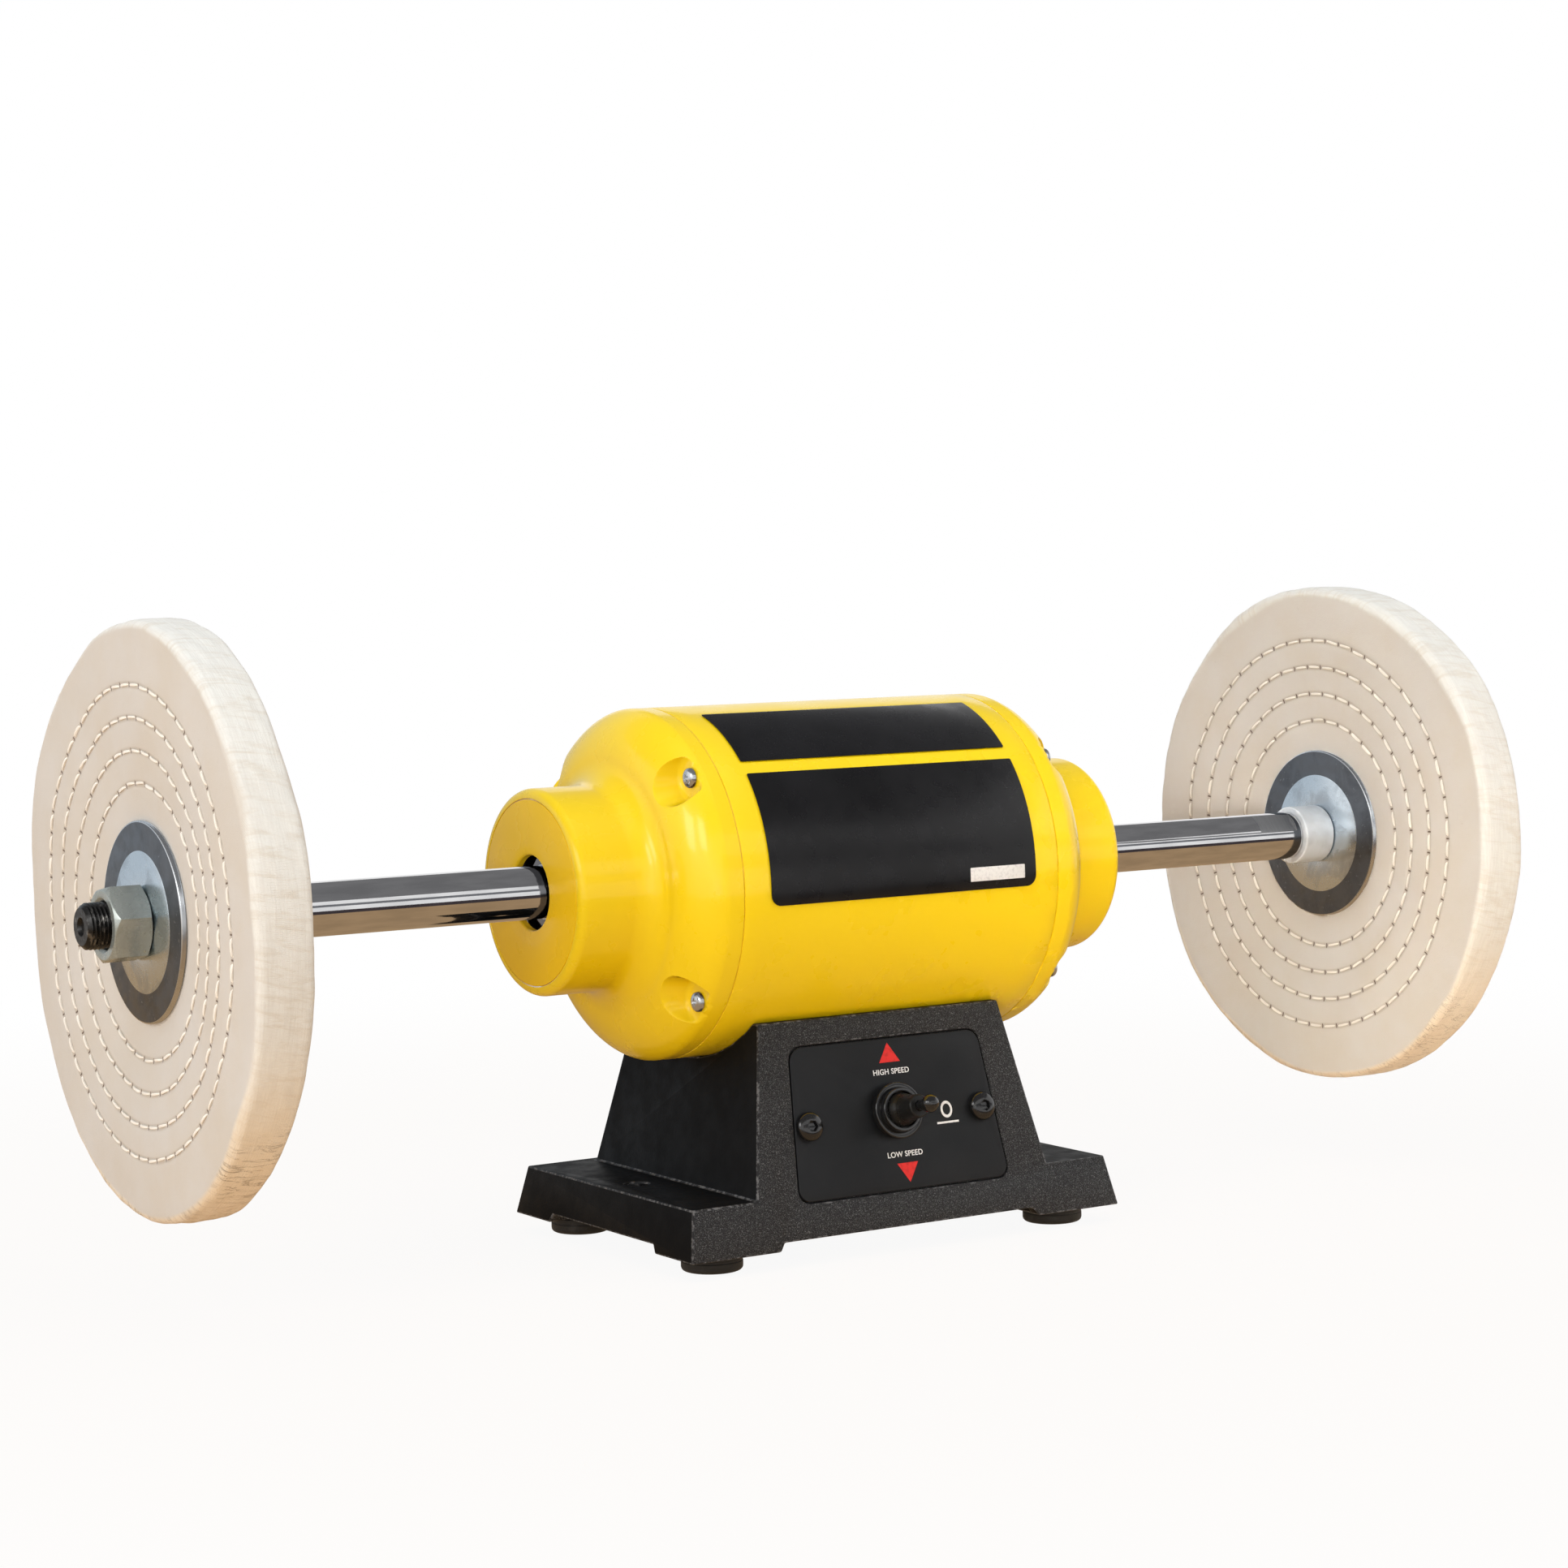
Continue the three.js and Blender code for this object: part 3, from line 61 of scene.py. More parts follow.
# Heights and lengths in mm. X runs along the shaft, -Y is the switch's side, Z is up.
AXIS_Z = 133.5
SEAM = 68.2
FIT = 0.3
BARREL_R = 64.0
BELL_START = SEAM + FIT / 2
DOME_START = 73.85
DOME_LENGTH = 13.8
DOME_FULLNESS = 1.63
NECK_FILLET = 9.6
BOSS_R = 37.2
NECK_R = BOSS_R + NECK_FILLET
NECK_START = DOME_START + DOME_LENGTH + NECK_FILLET
NOSE_ROUNDING = 3.2
BELL_FACE = 118.5
BELL_WALL = 4.5
COVER_R = 33.4
COVER_BACK = 115.8
POCKET_CIRCLE = 59.6
POCKET_ANGLES = (43, 137, 220, 320)
POCKET_R = 8.3
POCKET_FLOOR = 76.4
SCREW_HOLE_R = 2.3
SHAFT_R = 9.525
SHOULDER = 234.0
FLAT_START = 212
FLAT_END = 231
FLAT_ROLL = 48
ARBOR_R = 7.9375
ARBOR_END = 287.2
THREAD_START = 265
WHEEL_X = 257.7
WHEEL_R = 101.6
RIM_WIDTH = 20.5
HUB_WIDTH = 11.7
FLANGE_R = 34.1
FLANGE_CENTRE_R = 23.8
BORE_R = 8.2375
STITCH_RINGS = (46.5, 57.5, 68.5, 79.5)
NUT_START = 266.65
NUT_END = 279.85
NUT_FLATS = 23.8125
TOGGLE_RISE = 0.95
TOGGLE_BALL_H = 4.0
PLATE_SCREWS = (("left", -37.8), ("right", 37.8))
PLATE_SCREW_Y = -1.0
MARK_LOW = -0.2
MARK_HIGH = -0.14

# Cloth: seeds of the random waves of each wheel, and how much further on those of its back are
CLOTH_SEEDS = {"left": 3, "right": 57}
BACK_SEED = 10

# From the buffer's parts, modelled upright at the origin, to the shaft and to the stand's sloping front
AXLE = Matrix.Translation((0, 0, AXIS_Z * MM)) @ Matrix.Rotation(math.pi / 2, 4, "Y")
FRONT = Matrix.Translation((0, -0.054331, 0.048748)) @ Matrix.Rotation(math.radians(76.4), 4, "X")


def turn_z(angle):
    return Matrix.Rotation(angle, 4, "Z")


def shift(x, y, z=0.0):
    return Matrix.Translation((x * MM, y * MM, z * MM))


# ---------------------------------------------------------------- modelling


def bare():
    """Leaves edit mode and deselects everything."""
    if bpy.context.mode != "OBJECT":
        bpy.ops.object.mode_set(mode="OBJECT")
    bpy.ops.object.select_all(action="DESELECT")


def only(*pieces):
    bare()
    for piece in pieces:
        piece.select_set(True)
    bpy.context.view_layer.objects.active = pieces[0]


@contextmanager
def editing(piece, kind="FACE", pick=None):
    """Edit mode on one piece, with the elements that pick chooses selected, or all of them."""
    only(piece)
    bpy.ops.object.mode_set(mode="EDIT")
    bpy.ops.mesh.select_mode(type=kind)
    bpy.ops.mesh.select_all(action="DESELECT" if pick else "SELECT")
    if pick:
        work = bmesh.from_edit_mesh(piece.data)
        for part in {"VERT": work.verts, "EDGE": work.edges, "FACE": work.faces}[kind]:
            if pick(part):
                part.select_set(True)
        work.select_flush_mode()
        bmesh.update_edit_mesh(piece.data)
    yield
    bpy.ops.object.mode_set(mode="OBJECT")


def named(piece, name):
    piece.name = name
    piece.data.name = name
    return piece


def modify(piece, kind, **settings):
    """Adds a modifier with these settings and applies it."""
    only(piece)
    modifier = piece.modifiers.new(kind, kind)
    for key, value in settings.items():
        setattr(modifier, key, value)
    bpy.ops.object.modifier_apply(modifier=modifier.name)


def soften(piece, width, segments, angle, **settings):
    """Rounds the edges that are sharper than an angle in degrees."""
    modify(
        piece, "BEVEL", width=width * MM, segments=segments, limit_method="ANGLE",
        angle_limit=math.radians(angle), **settings,
    )


def smooth(piece, angle=30):
    only(piece)
    bpy.ops.object.shade_smooth_by_angle(angle=math.radians(angle))


def placed(piece, matrix):
    """Moves a piece by a matrix, which goes into its mesh."""
    bpy.context.view_layer.update()
    piece.matrix_world = matrix @ piece.matrix_world
    only(piece)
    bpy.ops.object.transform_apply(location=True, rotation=True, scale=True)
    return piece


def copied(piece, name, matrix):
    only(piece)
    bpy.ops.object.duplicate()
    return placed(named(bpy.context.object, name), matrix)


def joined(name, *pieces):
    only(*pieces)
    bpy.ops.object.join()
    return named(bpy.context.object, name)


def boolean(piece, tool, operation="DIFFERENCE"):
    """Cuts, joins or meets a piece with a tool, which is used up."""
    modify(piece, "BOOLEAN", object=tool, operation=operation, solver="EXACT")
    bpy.data.objects.remove(tool)


def turned(name, outline, steps=96, closed=False, angle=30):
    """A solid turned about Z from its outline of (radius, height) points."""
    bare()
    bpy.ops.mesh.primitive_plane_add(size=MM)
    piece = named(bpy.context.object, name)
    bpy.ops.object.mode_set(mode="EDIT")
    bpy.ops.mesh.select_mode(type="VERT")
    bpy.ops.mesh.merge(type="CENTER")
    points = [Vector((r, 0, h)) * MM for r, h in outline]
    bpy.ops.transform.translate(value=points[0])
    for here, there in zip(points, points[1:] + points[:1] * closed):
        bpy.ops.mesh.extrude_vertices_move(TRANSFORM_OT_translate={"value": there - here})
    bpy.ops.mesh.select_all(action="SELECT")
    bpy.ops.mesh.remove_doubles(threshold=1e-6)
    bpy.ops.mesh.spin(steps=steps, angle=2 * math.pi, center=(0, 0, 0), axis=(0, 0, 1))
    bpy.ops.mesh.select_all(action="SELECT")
    bpy.ops.mesh.remove_doubles(threshold=1e-6)
    bpy.ops.mesh.normals_make_consistent(inside=False)
    bpy.ops.object.mode_set(mode="OBJECT")
    smooth(piece, angle)
    return piece


def arc(middle_r, middle_h, radius, start, end, steps):
    """Points of an arc, with angles in degrees from the radius's direction towards the height's."""
    angles = np.radians(np.linspace(start, end, steps + 1))
    return [(middle_r + radius * math.cos(a), middle_h + radius * math.sin(a)) for a in angles]


def dome(start_h, start_r, length, drop, fullness, steps):
    """Points of a rounded shoulder, from its side to its top."""
    turns = [i / steps * math.pi / 2 for i in range(steps + 1)]
    power = 2 / fullness
    return [
        (
            start_r - drop + drop * max(0.0, math.cos(t)) ** power,
            start_h + length * math.sin(t) ** power,
        )
        for t in turns
    ]


def prism(name, sides, radius, low, high, matrix=Matrix()):
    """An upright prism between two heights, for cutting tools and nuts."""
    bare()
    bpy.ops.mesh.primitive_cylinder_add(
        vertices=sides, radius=radius * MM, depth=(high - low) * MM, location=(0, 0, (low + high) / 2 * MM)
    )
    return placed(named(bpy.context.object, name), matrix)


def block(name, low, high, matrix=Matrix()):
    """A cutting tool with flat sides, between two corners."""
    low, high = Vector(low) * MM, Vector(high) * MM
    bare()
    bpy.ops.mesh.primitive_cube_add(size=1, location=(low + high) / 2, scale=high - low)
    return placed(named(bpy.context.object, name), matrix)


def cross_tool(half_length, half_width, depth, top):
    """A tapering cross that cuts a screw's recess."""
    arms = []
    for turn in (0, math.pi / 2):
        arm = block("cross", (-half_length, -half_width, top - depth), (half_length, half_width, top + 1))
        with editing(arm, "FACE", lambda f: f.normal.z < -0.5):
            bpy.ops.transform.resize(value=(0.45, 0.7, 1))
        arms.append(placed(arm, turn_z(turn)))
    boolean(*arms, "UNION")
    return arms[0]


def moved_points(piece, change):
    """Moves a piece's points by a function of their places, all in mm."""
    mesh = piece.data
    flat = np.zeros(len(mesh.vertices) * 3)
    mesh.vertices.foreach_get("co", flat)
    points = change(flat.reshape(-1, 3) / MM) * MM
    mesh.vertices.foreach_set("co", points.ravel())
    mesh.update()


def ripple(points, length, seed, count=14):
    """A smooth random height of about -1 to 1 at each point, with waves about that long."""
    random = np.random.RandomState(seed)
    total = np.zeros(len(points))
    for _ in range(count):
        way = random.normal(size=3)
        way *= 2 * math.pi / (length * random.uniform(0.7, 1.5)) / np.linalg.norm(way)
        total += np.sin(points @ way + random.uniform(0, 2 * math.pi))
    return total / math.sqrt(count)


def piece_from_node(name, node):
    """A copy of a CAD node with its own mesh, merged and with its flat faces whole."""
    source = frame["nodes"][node]
    piece = bpy.data.objects.new(name, source.data.copy())
    bpy.context.scene.collection.objects.link(piece)
    named(piece, name)
    piece.data.materials.clear()
    only(piece)
    bpy.ops.mesh.customdata_custom_splitnormals_clear()
    with editing(piece):
        bpy.ops.mesh.remove_doubles(threshold=1e-6)
        bpy.ops.mesh.dissolve_limited(angle_limit=math.radians(0.8))
    return piece


def dressed(piece, finish_name, body, slot, *nodes, extra=()):
    """Gives a piece its finish and body, and hides the nodes that it stands for. Its slot is not used."""
    piece.data.materials.clear()
    for look in (finish_name, *extra):
        piece.data.materials.append(finish(look))
    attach(piece, body)
    if nodes:
        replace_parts(piece, *nodes)
    return piece


def at_both_ends(piece, name, look, slot, node="", body="spindle", rolls=(0, 0), extra=()):
    """Sets dressed copies of a piece at the two ends of the shaft, and removes the piece."""
    ends = []
    for (side, turn), roll in zip(SIDES, rolls):
        end = copied(piece, f"{name}_{side}", turn_z(turn) @ AXLE @ turn_z(math.radians(roll)))
        nodes = [f"{node}_{side}"] if node else []
        ends.append(dressed(end, look, body, slot, *nodes, extra=extra))
    bpy.data.objects.remove(piece)
    return ends


def off_axis(face):
    """How far a face lies from the shaft's axis, in mm."""
    return math.hypot(face.center.y, face.center.z - AXIS_Z * MM) / MM


# ----------------------------------------------------------------- finishes


class Signal:
    """One output of a node. Sums on it become Math nodes."""

    def __init__(self, nodes, socket):
        self.nodes = nodes
        self.socket = socket

    def sum(self, operation, *values):
        return self.nodes.add("ShaderNodeMath", {"operation": operation}, values)

    def __add__(self, other):
        return self.sum("ADD", self, other)

    def __radd__(self, other):
        return self.sum("ADD", other, self)

    def __sub__(self, other):
        return self.sum("SUBTRACT", self, other)

    def __mul__(self, other):
        return self.sum("MULTIPLY", self, other)

    def __abs__(self):
        return self.sum("ABSOLUTE", self)

    def root(self):
        return self.sum("SQRT", self)

    def fraction(self):
        return self.sum("FRACT", self)

    def sine(self):
        return self.sum("SINE", self)


class Nodes:
    """The nodes of a material or of the world."""

    def __init__(self, owner):
        owner.use_nodes = True
        self.tree = owner.node_tree

    def give(self, node, key, value):
        """Sets or links one socket of a node."""
        if isinstance(value, Signal):
            self.tree.links.new(value.socket, node.inputs[key])
        else:
            node.inputs[key].default_value = value

    def add(self, kind, settings=None, values=(), output=0):
        """Adds a node: its settings first, then the values or links of its sockets."""
        node = self.tree.nodes.new(kind)
        for key, value in (settings or {}).items():
            setattr(node, key, value)
        for key, value in values.items() if isinstance(values, dict) else enumerate(values):
            self.give(node, key, value)
        return Signal(self, node.outputs[output])

    def rays(self, *kinds):
        """1 for rays of these kinds, and 0 for others."""
        first, *rest = (self.add("ShaderNodeLightPath", output=f"Is {kind} Ray") for kind in kinds)
        for other in rest:
            first = first.sum("MAXIMUM", first, other)
        return first


class Finish(Nodes):
    """A material made of nodes around one surface shader."""

    def __init__(self, name, colour, roughness, metallic=0.0, **constants):
        self.material = bpy.data.materials.new(name)
        super().__init__(self.material)
        self.surface = self.tree.nodes["Principled BSDF"]
        self.put("Base Color", (*colour, 1))
        self.put("Roughness", roughness)
        self.put("Metallic", metallic)
        for key, value in constants.items():
            self.put(key.replace("_", " ").title().replace("Ior", "IOR"), value)
        self.at = self.add("ShaderNodeTexCoord", output="Object")

    def put(self, socket, value):
        """Sets or links one socket of the surface."""
        self.give(self.surface, socket, value)

    def stretched(self, *scale):
        """The place on the piece, scaled along each axis."""
        return self.add("ShaderNodeMapping", {}, {"Vector": self.at, "Scale": scale})

    def noise(self, scale, detail=2.0, roughness=0.5, at=None, distortion=0.0):
        values = {
            "Vector": at or self.at,
            "Scale": scale,
            "Detail": detail,
            "Roughness": roughness,
            "Distortion": distortion,
        }
        return self.add("ShaderNodeTexNoise", {}, values)

    def cells(self, scale):
        return self.add("ShaderNodeTexVoronoi", {}, {"Vector": self.at, "Scale": scale})

    def between(self, signal, low, high, out_low=0.0, out_high=1.0):
        """A smooth step from one value to another."""
        return self.add(
            "ShaderNodeMapRange", {"interpolation_type": "SMOOTHSTEP"}, (signal, low, high, out_low, out_high)
        )

    def mixed(self, mask, first, second):
        """A colour between two colours, by a mask."""
        first, second = ((*c, 1) if isinstance(c, tuple) else c for c in (first, second))
        return self.add("ShaderNodeMix", {"data_type": "RGBA"}, {0: mask, 6: first, 7: second}, output=2)

    def bump(self, height, distance):
        """Raises the surface by a height of 0 to 1 times a distance in metres."""
        values = {"Strength": 1.0, "Distance": distance, "Height": height}
        self.put("Normal", self.add("ShaderNodeBump", {}, values))

    def patches(self, noise, low, high, first, second, share=1.0):
        """Two colours in the patches of a noise."""
        mask = self.between(self.noise(*noise), low, high)
        self.put("Base Color", self.mixed(mask * share, first, second))

    def gloss(self, noise, low, high):
        """A roughness that strays between two values."""
        self.put("Roughness", self.between(self.noise(*noise), 0.3, 0.7, low, high))

    def grain(self, noise, distance):
        """A fine relief."""
        self.bump(self.noise(*noise), distance)

    def parts(self):
        """The place's X, Y and height above the shaft's axis, each in metres."""
        values = {"Vector": self.at}
        place = self.add("ShaderNodeSeparateXYZ", {}, values).socket.node
        x, y, z = (Signal(self, socket) for socket in place.outputs)
        return x, y, z - AXIS_Z * MM

    def polar(self):
        """The place along the shaft, its distance from the axis and its angle round it."""
        x, y, z = self.parts()
        return x, (y * y + z * z).root(), x.sum("ARCTAN2", y, z)

    def joined(self, x=0.0, y=0.0, z=0.0):
        return self.add("ShaderNodeCombineXYZ", {}, (x, y, z))


def colours():
    return bpy.context.scene.buffer_colours


def sizes():
    return bpy.context.scene.buffer_sizes


def tinted(colour, *factors):
    """A colour times one factor, or times one for each channel."""
    return tuple(c * k for c, k in zip(colour, factors * 3 if len(factors) == 1 else factors))


def enamel(name, *patches):
    f = Finish(name, colours().enamel, 0.3, coat_weight=0.35, coat_roughness=0.07, specular_ior_level=0.4)
    f.patches(*patches)
    f.gloss((60, 4), 0.25, 0.34)
    f.grain((300, 1.5), 0.000004)
    return f


def yellow_enamel(name):
    base = tuple(colours().enamel)
    return enamel(name, (22, 3), 0.35, 0.7, base, tinted(base, 0.97, 0.9, 0.6), 0.08)


def cover_enamel(name):
    base = tinted(colours().enamel, 0.98, 0.88, 0.7)
    f = enamel(name, (30, 3), 0.3, 0.75, base, tinted(base, 0.94), 0.4)
    f.put("Coat Weight", 0.1)
    f.put("Specular IOR Level", 0.25)
    return f


def wrinkle_coat(name):
    base = tuple(colours().casting)
    f = Finish(name, base, 0.5, specular_ior_level=0.28)
    grain = f.noise(2200, 3, 0.65)
    specks = f.between(f.noise(2300, 1, 0.6), 0.6, 0.7)
    fine = f.between(f.noise(3600, 1), 0.54, 0.7)
    f.put("Base Color", f.mixed(specks * 0.5 + fine * 0.5, base, tuple(0.16 + c for c in base)))
    f.put("Roughness", f.between(grain, 0.3, 0.7, 0.4, 0.62))
    f.bump(grain * 0.6 + f.cells(1700) * 0.7, 0.00016)
    return f


# Painted shade: a darker, smoother copy of the wrinkle coat for the stand's side and top faces, which face
# away from the light.
def smooth_coat(name):
    base = tinted(colours().casting, 0.32)
    f = Finish(name, base, 0.55, specular_ior_level=0.08)
    f.patches((30, 3), 0.3, 0.7, base, tinted(base, 1.5))
    f.gloss((140, 3), 0.48, 0.62)
    f.grain((1100, 3), 0.00005)
    return f


def worn_edge(name):
    base = tuple(colours().casting)
    f = Finish(name, base, 0.5, specular_ior_level=0.3)
    f.patches((420, 4, 0.7), 0.45, 0.62, base, (0.13, 0.13, 0.135))
    f.grain((1500, 3), 0.0001)
    return f


def satin_sheet(name):
    base = tuple(colours().plate)
    f = Finish(name, base, 0.36, specular_ior_level=0.3)
    dust = f.between(f.noise(950, 4, 0.75), 0.70, 0.78)
    cloud = f.between(f.noise(35, 3), 0.3, 0.75)
    f.put("Base Color", f.mixed(dust * 0.6, f.mixed(cloud, base, tinted(base, 1.7)), (0.12, 0.12, 0.125)))
    f.gloss((70, 4), 0.3, 0.44)
    f.grain((2400, 2), 0.000035)
    return f


def polished_steel(name):
    f = Finish(name, (0.7, 0.7, 0.71), 0.12, 1.0)
    x, radius, angle = f.polar()
    lines = f.noise(1, 2, 0.6, at=f.joined(x * 5200, angle * 1.2, radius * 900))
    smear = f.noise(1, 3, at=f.joined(x * 60, angle * 3))
    f.put("Base Color", f.mixed(f.between(smear, 0.3, 0.7), (0.74, 0.74, 0.75), (0.62, 0.62, 0.63)))
    f.put("Roughness", f.between(smear, 0.3, 0.7, 0.035, 0.07) + lines * 0.02)
    f.bump(lines, 0.0000004)
    return f


def milled_flat(name):
    f = Finish(name, (0.5, 0.5, 0.5), 0.3, 1.0)
    x, y, z = f.parts()
    lines = f.noise(1, 3, 0.6, at=f.joined(x * 2600, y * 120, z * 120))
    f.put("Base Color", f.mixed(lines, (0.62, 0.62, 0.62), (0.9, 0.9, 0.9)))
    f.bump(lines, 0.000012)
    return f


def bearing_steel(name):
    f = Finish(name, (0.2, 0.2, 0.21), 0.2, 1.0)
    x, radius, angle = f.polar()
    rings = f.noise(1, 2, at=f.joined(x * 3000, radius * 5200, angle * 0.6))
    f.put("Roughness", 0.14 + rings * 0.14)
    f.bump(rings, 0.000004)
    return f


def zinc_plate(name, base=(0.74, 0.82, 0.88), patch=(0.4, 0.45, 0.5), gloss=None):
    f = Finish(name, base, 0.26, 1.0)
    x, radius, angle = f.polar()
    rings = f.noise(1, 2, at=f.joined(x * 900, radius * 3800, angle * 1.4))
    clouds = f.between(f.noise(75, 5, 0.62, distortion=0.6), 0.42, 0.66) * 0.6
    scuffs = f.between(f.noise(520, 4, 0.75), 0.6, 0.72)
    f.put("Base Color", f.mixed(clouds, base, f.mixed(scuffs, patch, (0.74, 0.77, 0.8))))
    if gloss:
        f.gloss(*gloss)
    else:
        f.put("Roughness", 0.22 + clouds * 0.12 + scuffs * 0.12 + rings * 0.06)
    f.bump(rings * 0.6 + scuffs * 0.4, 0.000008)
    return f


def zinc_ring(name):
    return zinc_plate(name, (0.175, 0.187, 0.205), (0.115, 0.125, 0.14), ((240, 4), 0.34, 0.46))


def zinc_rim(name):
    return zinc_plate(name, (0.72, 0.74, 0.76), (0.55, 0.56, 0.56))


def nut_zinc(name):
    f = zinc_plate(name, (0.44, 0.48, 0.455), (0.33, 0.365, 0.345), ((300, 3), 0.22, 0.34))
    f.put("Metallic", 0.6)
    return f


def pale_collar(name):
    f = Finish(name, (0.8, 0.81, 0.82), 0.34, 0.3)
    x, radius, angle = f.polar()
    rings = f.noise(1, 3, at=f.joined(x * 3200, angle, radius * 3200))
    f.patches((160, 4), 0.35, 0.7, (0.78, 0.83, 0.88), (0.68, 0.72, 0.76))
    f.put("Roughness", 0.3 + rings * 0.16)
    f.bump(rings, 0.000006)
    return f


def stitch_counts():
    """How many stitches each ring has."""
    return [round(2 * math.pi * radius / sizes().stitch_pitch / 1000) for radius in STITCH_RINGS]


def sewn_cotton(name):
    """Woven cloth, drawn in along its sewn rings, with the cut and rolled edges of its discs at the rim.
    Shade is painted in the grooves beside the rings, in the stitch holes and in the rim's creases, and warm
    bounce light is painted on the rim's lower part.
    """
    base = tuple(colours().cotton)
    f = Finish(name, base, 0.92, sheen_weight=0.25, sheen_roughness=0.5)
    x, radius, angle = f.polar()
    y, z = f.parts()[1:]
    rim = f.between(radius + f.noise(15, 2) * 0.008, 0.1015, 0.1035)
    # 1 on the wheel's lower part, where the rim gets painted warm bounce light and its creases lie.
    low = f.between(z, -0.085, -0.02, 1.0, 0.0)
    warm = tinted(base, 0.95, 0.89, 0.79)
    pale = tinted(base, 1.2, 1.25, 1.26)

    # Beside each ring of stitches, a dark band is painted shade in the groove where the cloth is drawn in. A
    # dark mark at each end of a stitch is painted shade in its hole, which is also sunk in the relief.
    shaded_stitch_holes, seam_shade = [], []
    for ring, count in zip(STITCH_RINGS, stitch_counts()):
        off = abs(radius - ring * MM)
        turns = angle * (count / (2 * math.pi)) + (50 + count % 2 / 2)
        end = f.between(abs(turns.fraction() - 0.5), 0.025, 0.055, 1.0, 0.0)
        shaded_stitch_holes.append(f.between(off, 0.0006, 0.0012, 1.0, 0.0) * end)
        seam_shade.append(f.between(off, 0.0007, 0.0016, 1.0, 0.0))
    shaded_stitch_holes, seam_shade = (sum(marks[1:], marks[0]) for marks in (shaded_stitch_holes, seam_shade))
    cloth = f.mixed(f.between(f.noise(26, 4, 0.6), 0.3, 0.72) * 0.6, base, warm)
    flecks = f.between(f.noise(700, 4, 0.7), 0.66, 0.76)
    # The flecks are the cloth's own; the dark band beside each ring is painted shade.
    face = f.mixed(flecks * 0.3 + seam_shade * 0.3, cloth, (0.32, 0.23, 0.14))

    plies = f.noise(1, 3, 0.6, at=f.joined(x * 1500, angle * 9))
    strokes = f.noise(1, 4, 0.65, at=f.joined(x * 90 + angle * 22, angle * 26, 0.5), distortion=0.7)
    creases = f.between(abs(strokes - 0.5), 0.0, 0.02, 1.0, 0.0) * low
    creases *= f.between(f.noise(13, 2), 0.4, 0.55)
    edge = f.mixed(f.between(plies, 0.3, 0.7) * 0.4, pale, base)
    edge = f.mixed(f.between(strokes, 0.45, 0.7) * 0.5, edge, warm)
    # The rim's lower part is painted warm tan, which is painted bounce light from beneath. Its creases are
    # painted darker, as painted shade.
    edge = f.mixed(low, edge, f.mixed(creases * 0.6, (0.8, 0.68, 0.51), (0.42, 0.3, 0.18)))
    # The dark marks at the stitch ends are painted shade in the stitch holes.
    f.put("Base Color", f.mixed(shaded_stitch_holes * 0.9, f.mixed(rim, face, edge), (0.09, 0.05, 0.028)))

    yarn = 2 * math.pi / 0.00062
    height = (y * yarn).sine() * (z * yarn).sine() * 0.1 + f.noise(2300, 2, 0.6) * 0.35
    height += rim * (plies * 0.7 + strokes * 0.5 + low * strokes - creases)
    f.bump(height + f.noise(120, 3) * 1.2 - shaded_stitch_holes * 0.8, 0.00022)
    return f


def stitch_thread(name):
    base = tuple(colours().thread)
    f = Finish(name, base, 0.8, sheen_weight=0.3)
    x, radius, angle = f.polar()
    twist = (angle * 900 + radius * 9000 + x * 4000).sine()
    f.put("Base Color", f.mixed(twist * 0.5 + 0.5, base, tinted(base, 0.9)))
    f.bump(twist, 0.000015)
    return f


def laminations(name):
    f = Finish(name, (0.2, 0.2, 0.21), 0.42, 0.9)
    sheets = (f.parts()[0] * (2 * math.pi / 0.0005)).sine() * 0.5 + 0.5
    f.put("Base Color", f.mixed(sheets, (0.09, 0.09, 0.1), (0.28, 0.28, 0.29)))
    f.bump(sheets, 0.00005)
    return f


def copper_winding(name):
    f = Finish(name, (0.55, 0.24, 0.1), 0.25, 0.8, coat_weight=0.5, coat_roughness=0.12)
    x, radius = f.polar()[:2]
    wires = (radius * (2 * math.pi / 0.0009) + x * 900).sine() * 0.5 + 0.5
    f.put("Base Color", f.mixed(wires, (0.3, 0.1, 0.04), (0.62, 0.28, 0.12)))
    f.bump(wires, 0.0002)
    return f


def capacitor_can(name):
    f = Finish(name, (0.55, 0.57, 0.6), 0.32, 1.0)
    lines = f.noise(1, 3, at=f.stretched(40, 2400, 2400))
    f.put("Roughness", 0.24 + lines * 0.18)
    f.bump(lines, 0.000006)
    return f


def lead_sleeve(name):
    f = Finish(name, (0.03, 0.03, 0.03), 0.55)
    braid = f.cells(1500)
    f.put("Base Color", f.mixed(braid, (0.012, 0.012, 0.012), (0.05, 0.05, 0.05)))
    f.bump(braid, 0.0001)
    return f


def plain(colour, roughness, patches=None, gloss=None, grain=None, **constants):
    """A maker of finishes whose colour, roughness and relief each follow one noise, or stay even."""

    def make(name):
        f = Finish(name, colour, roughness, **constants)
        for values, give in ((patches, f.patches), (gloss, f.gloss), (grain, f.grain)):
            if values:
                give(*values)
        return f

    return make


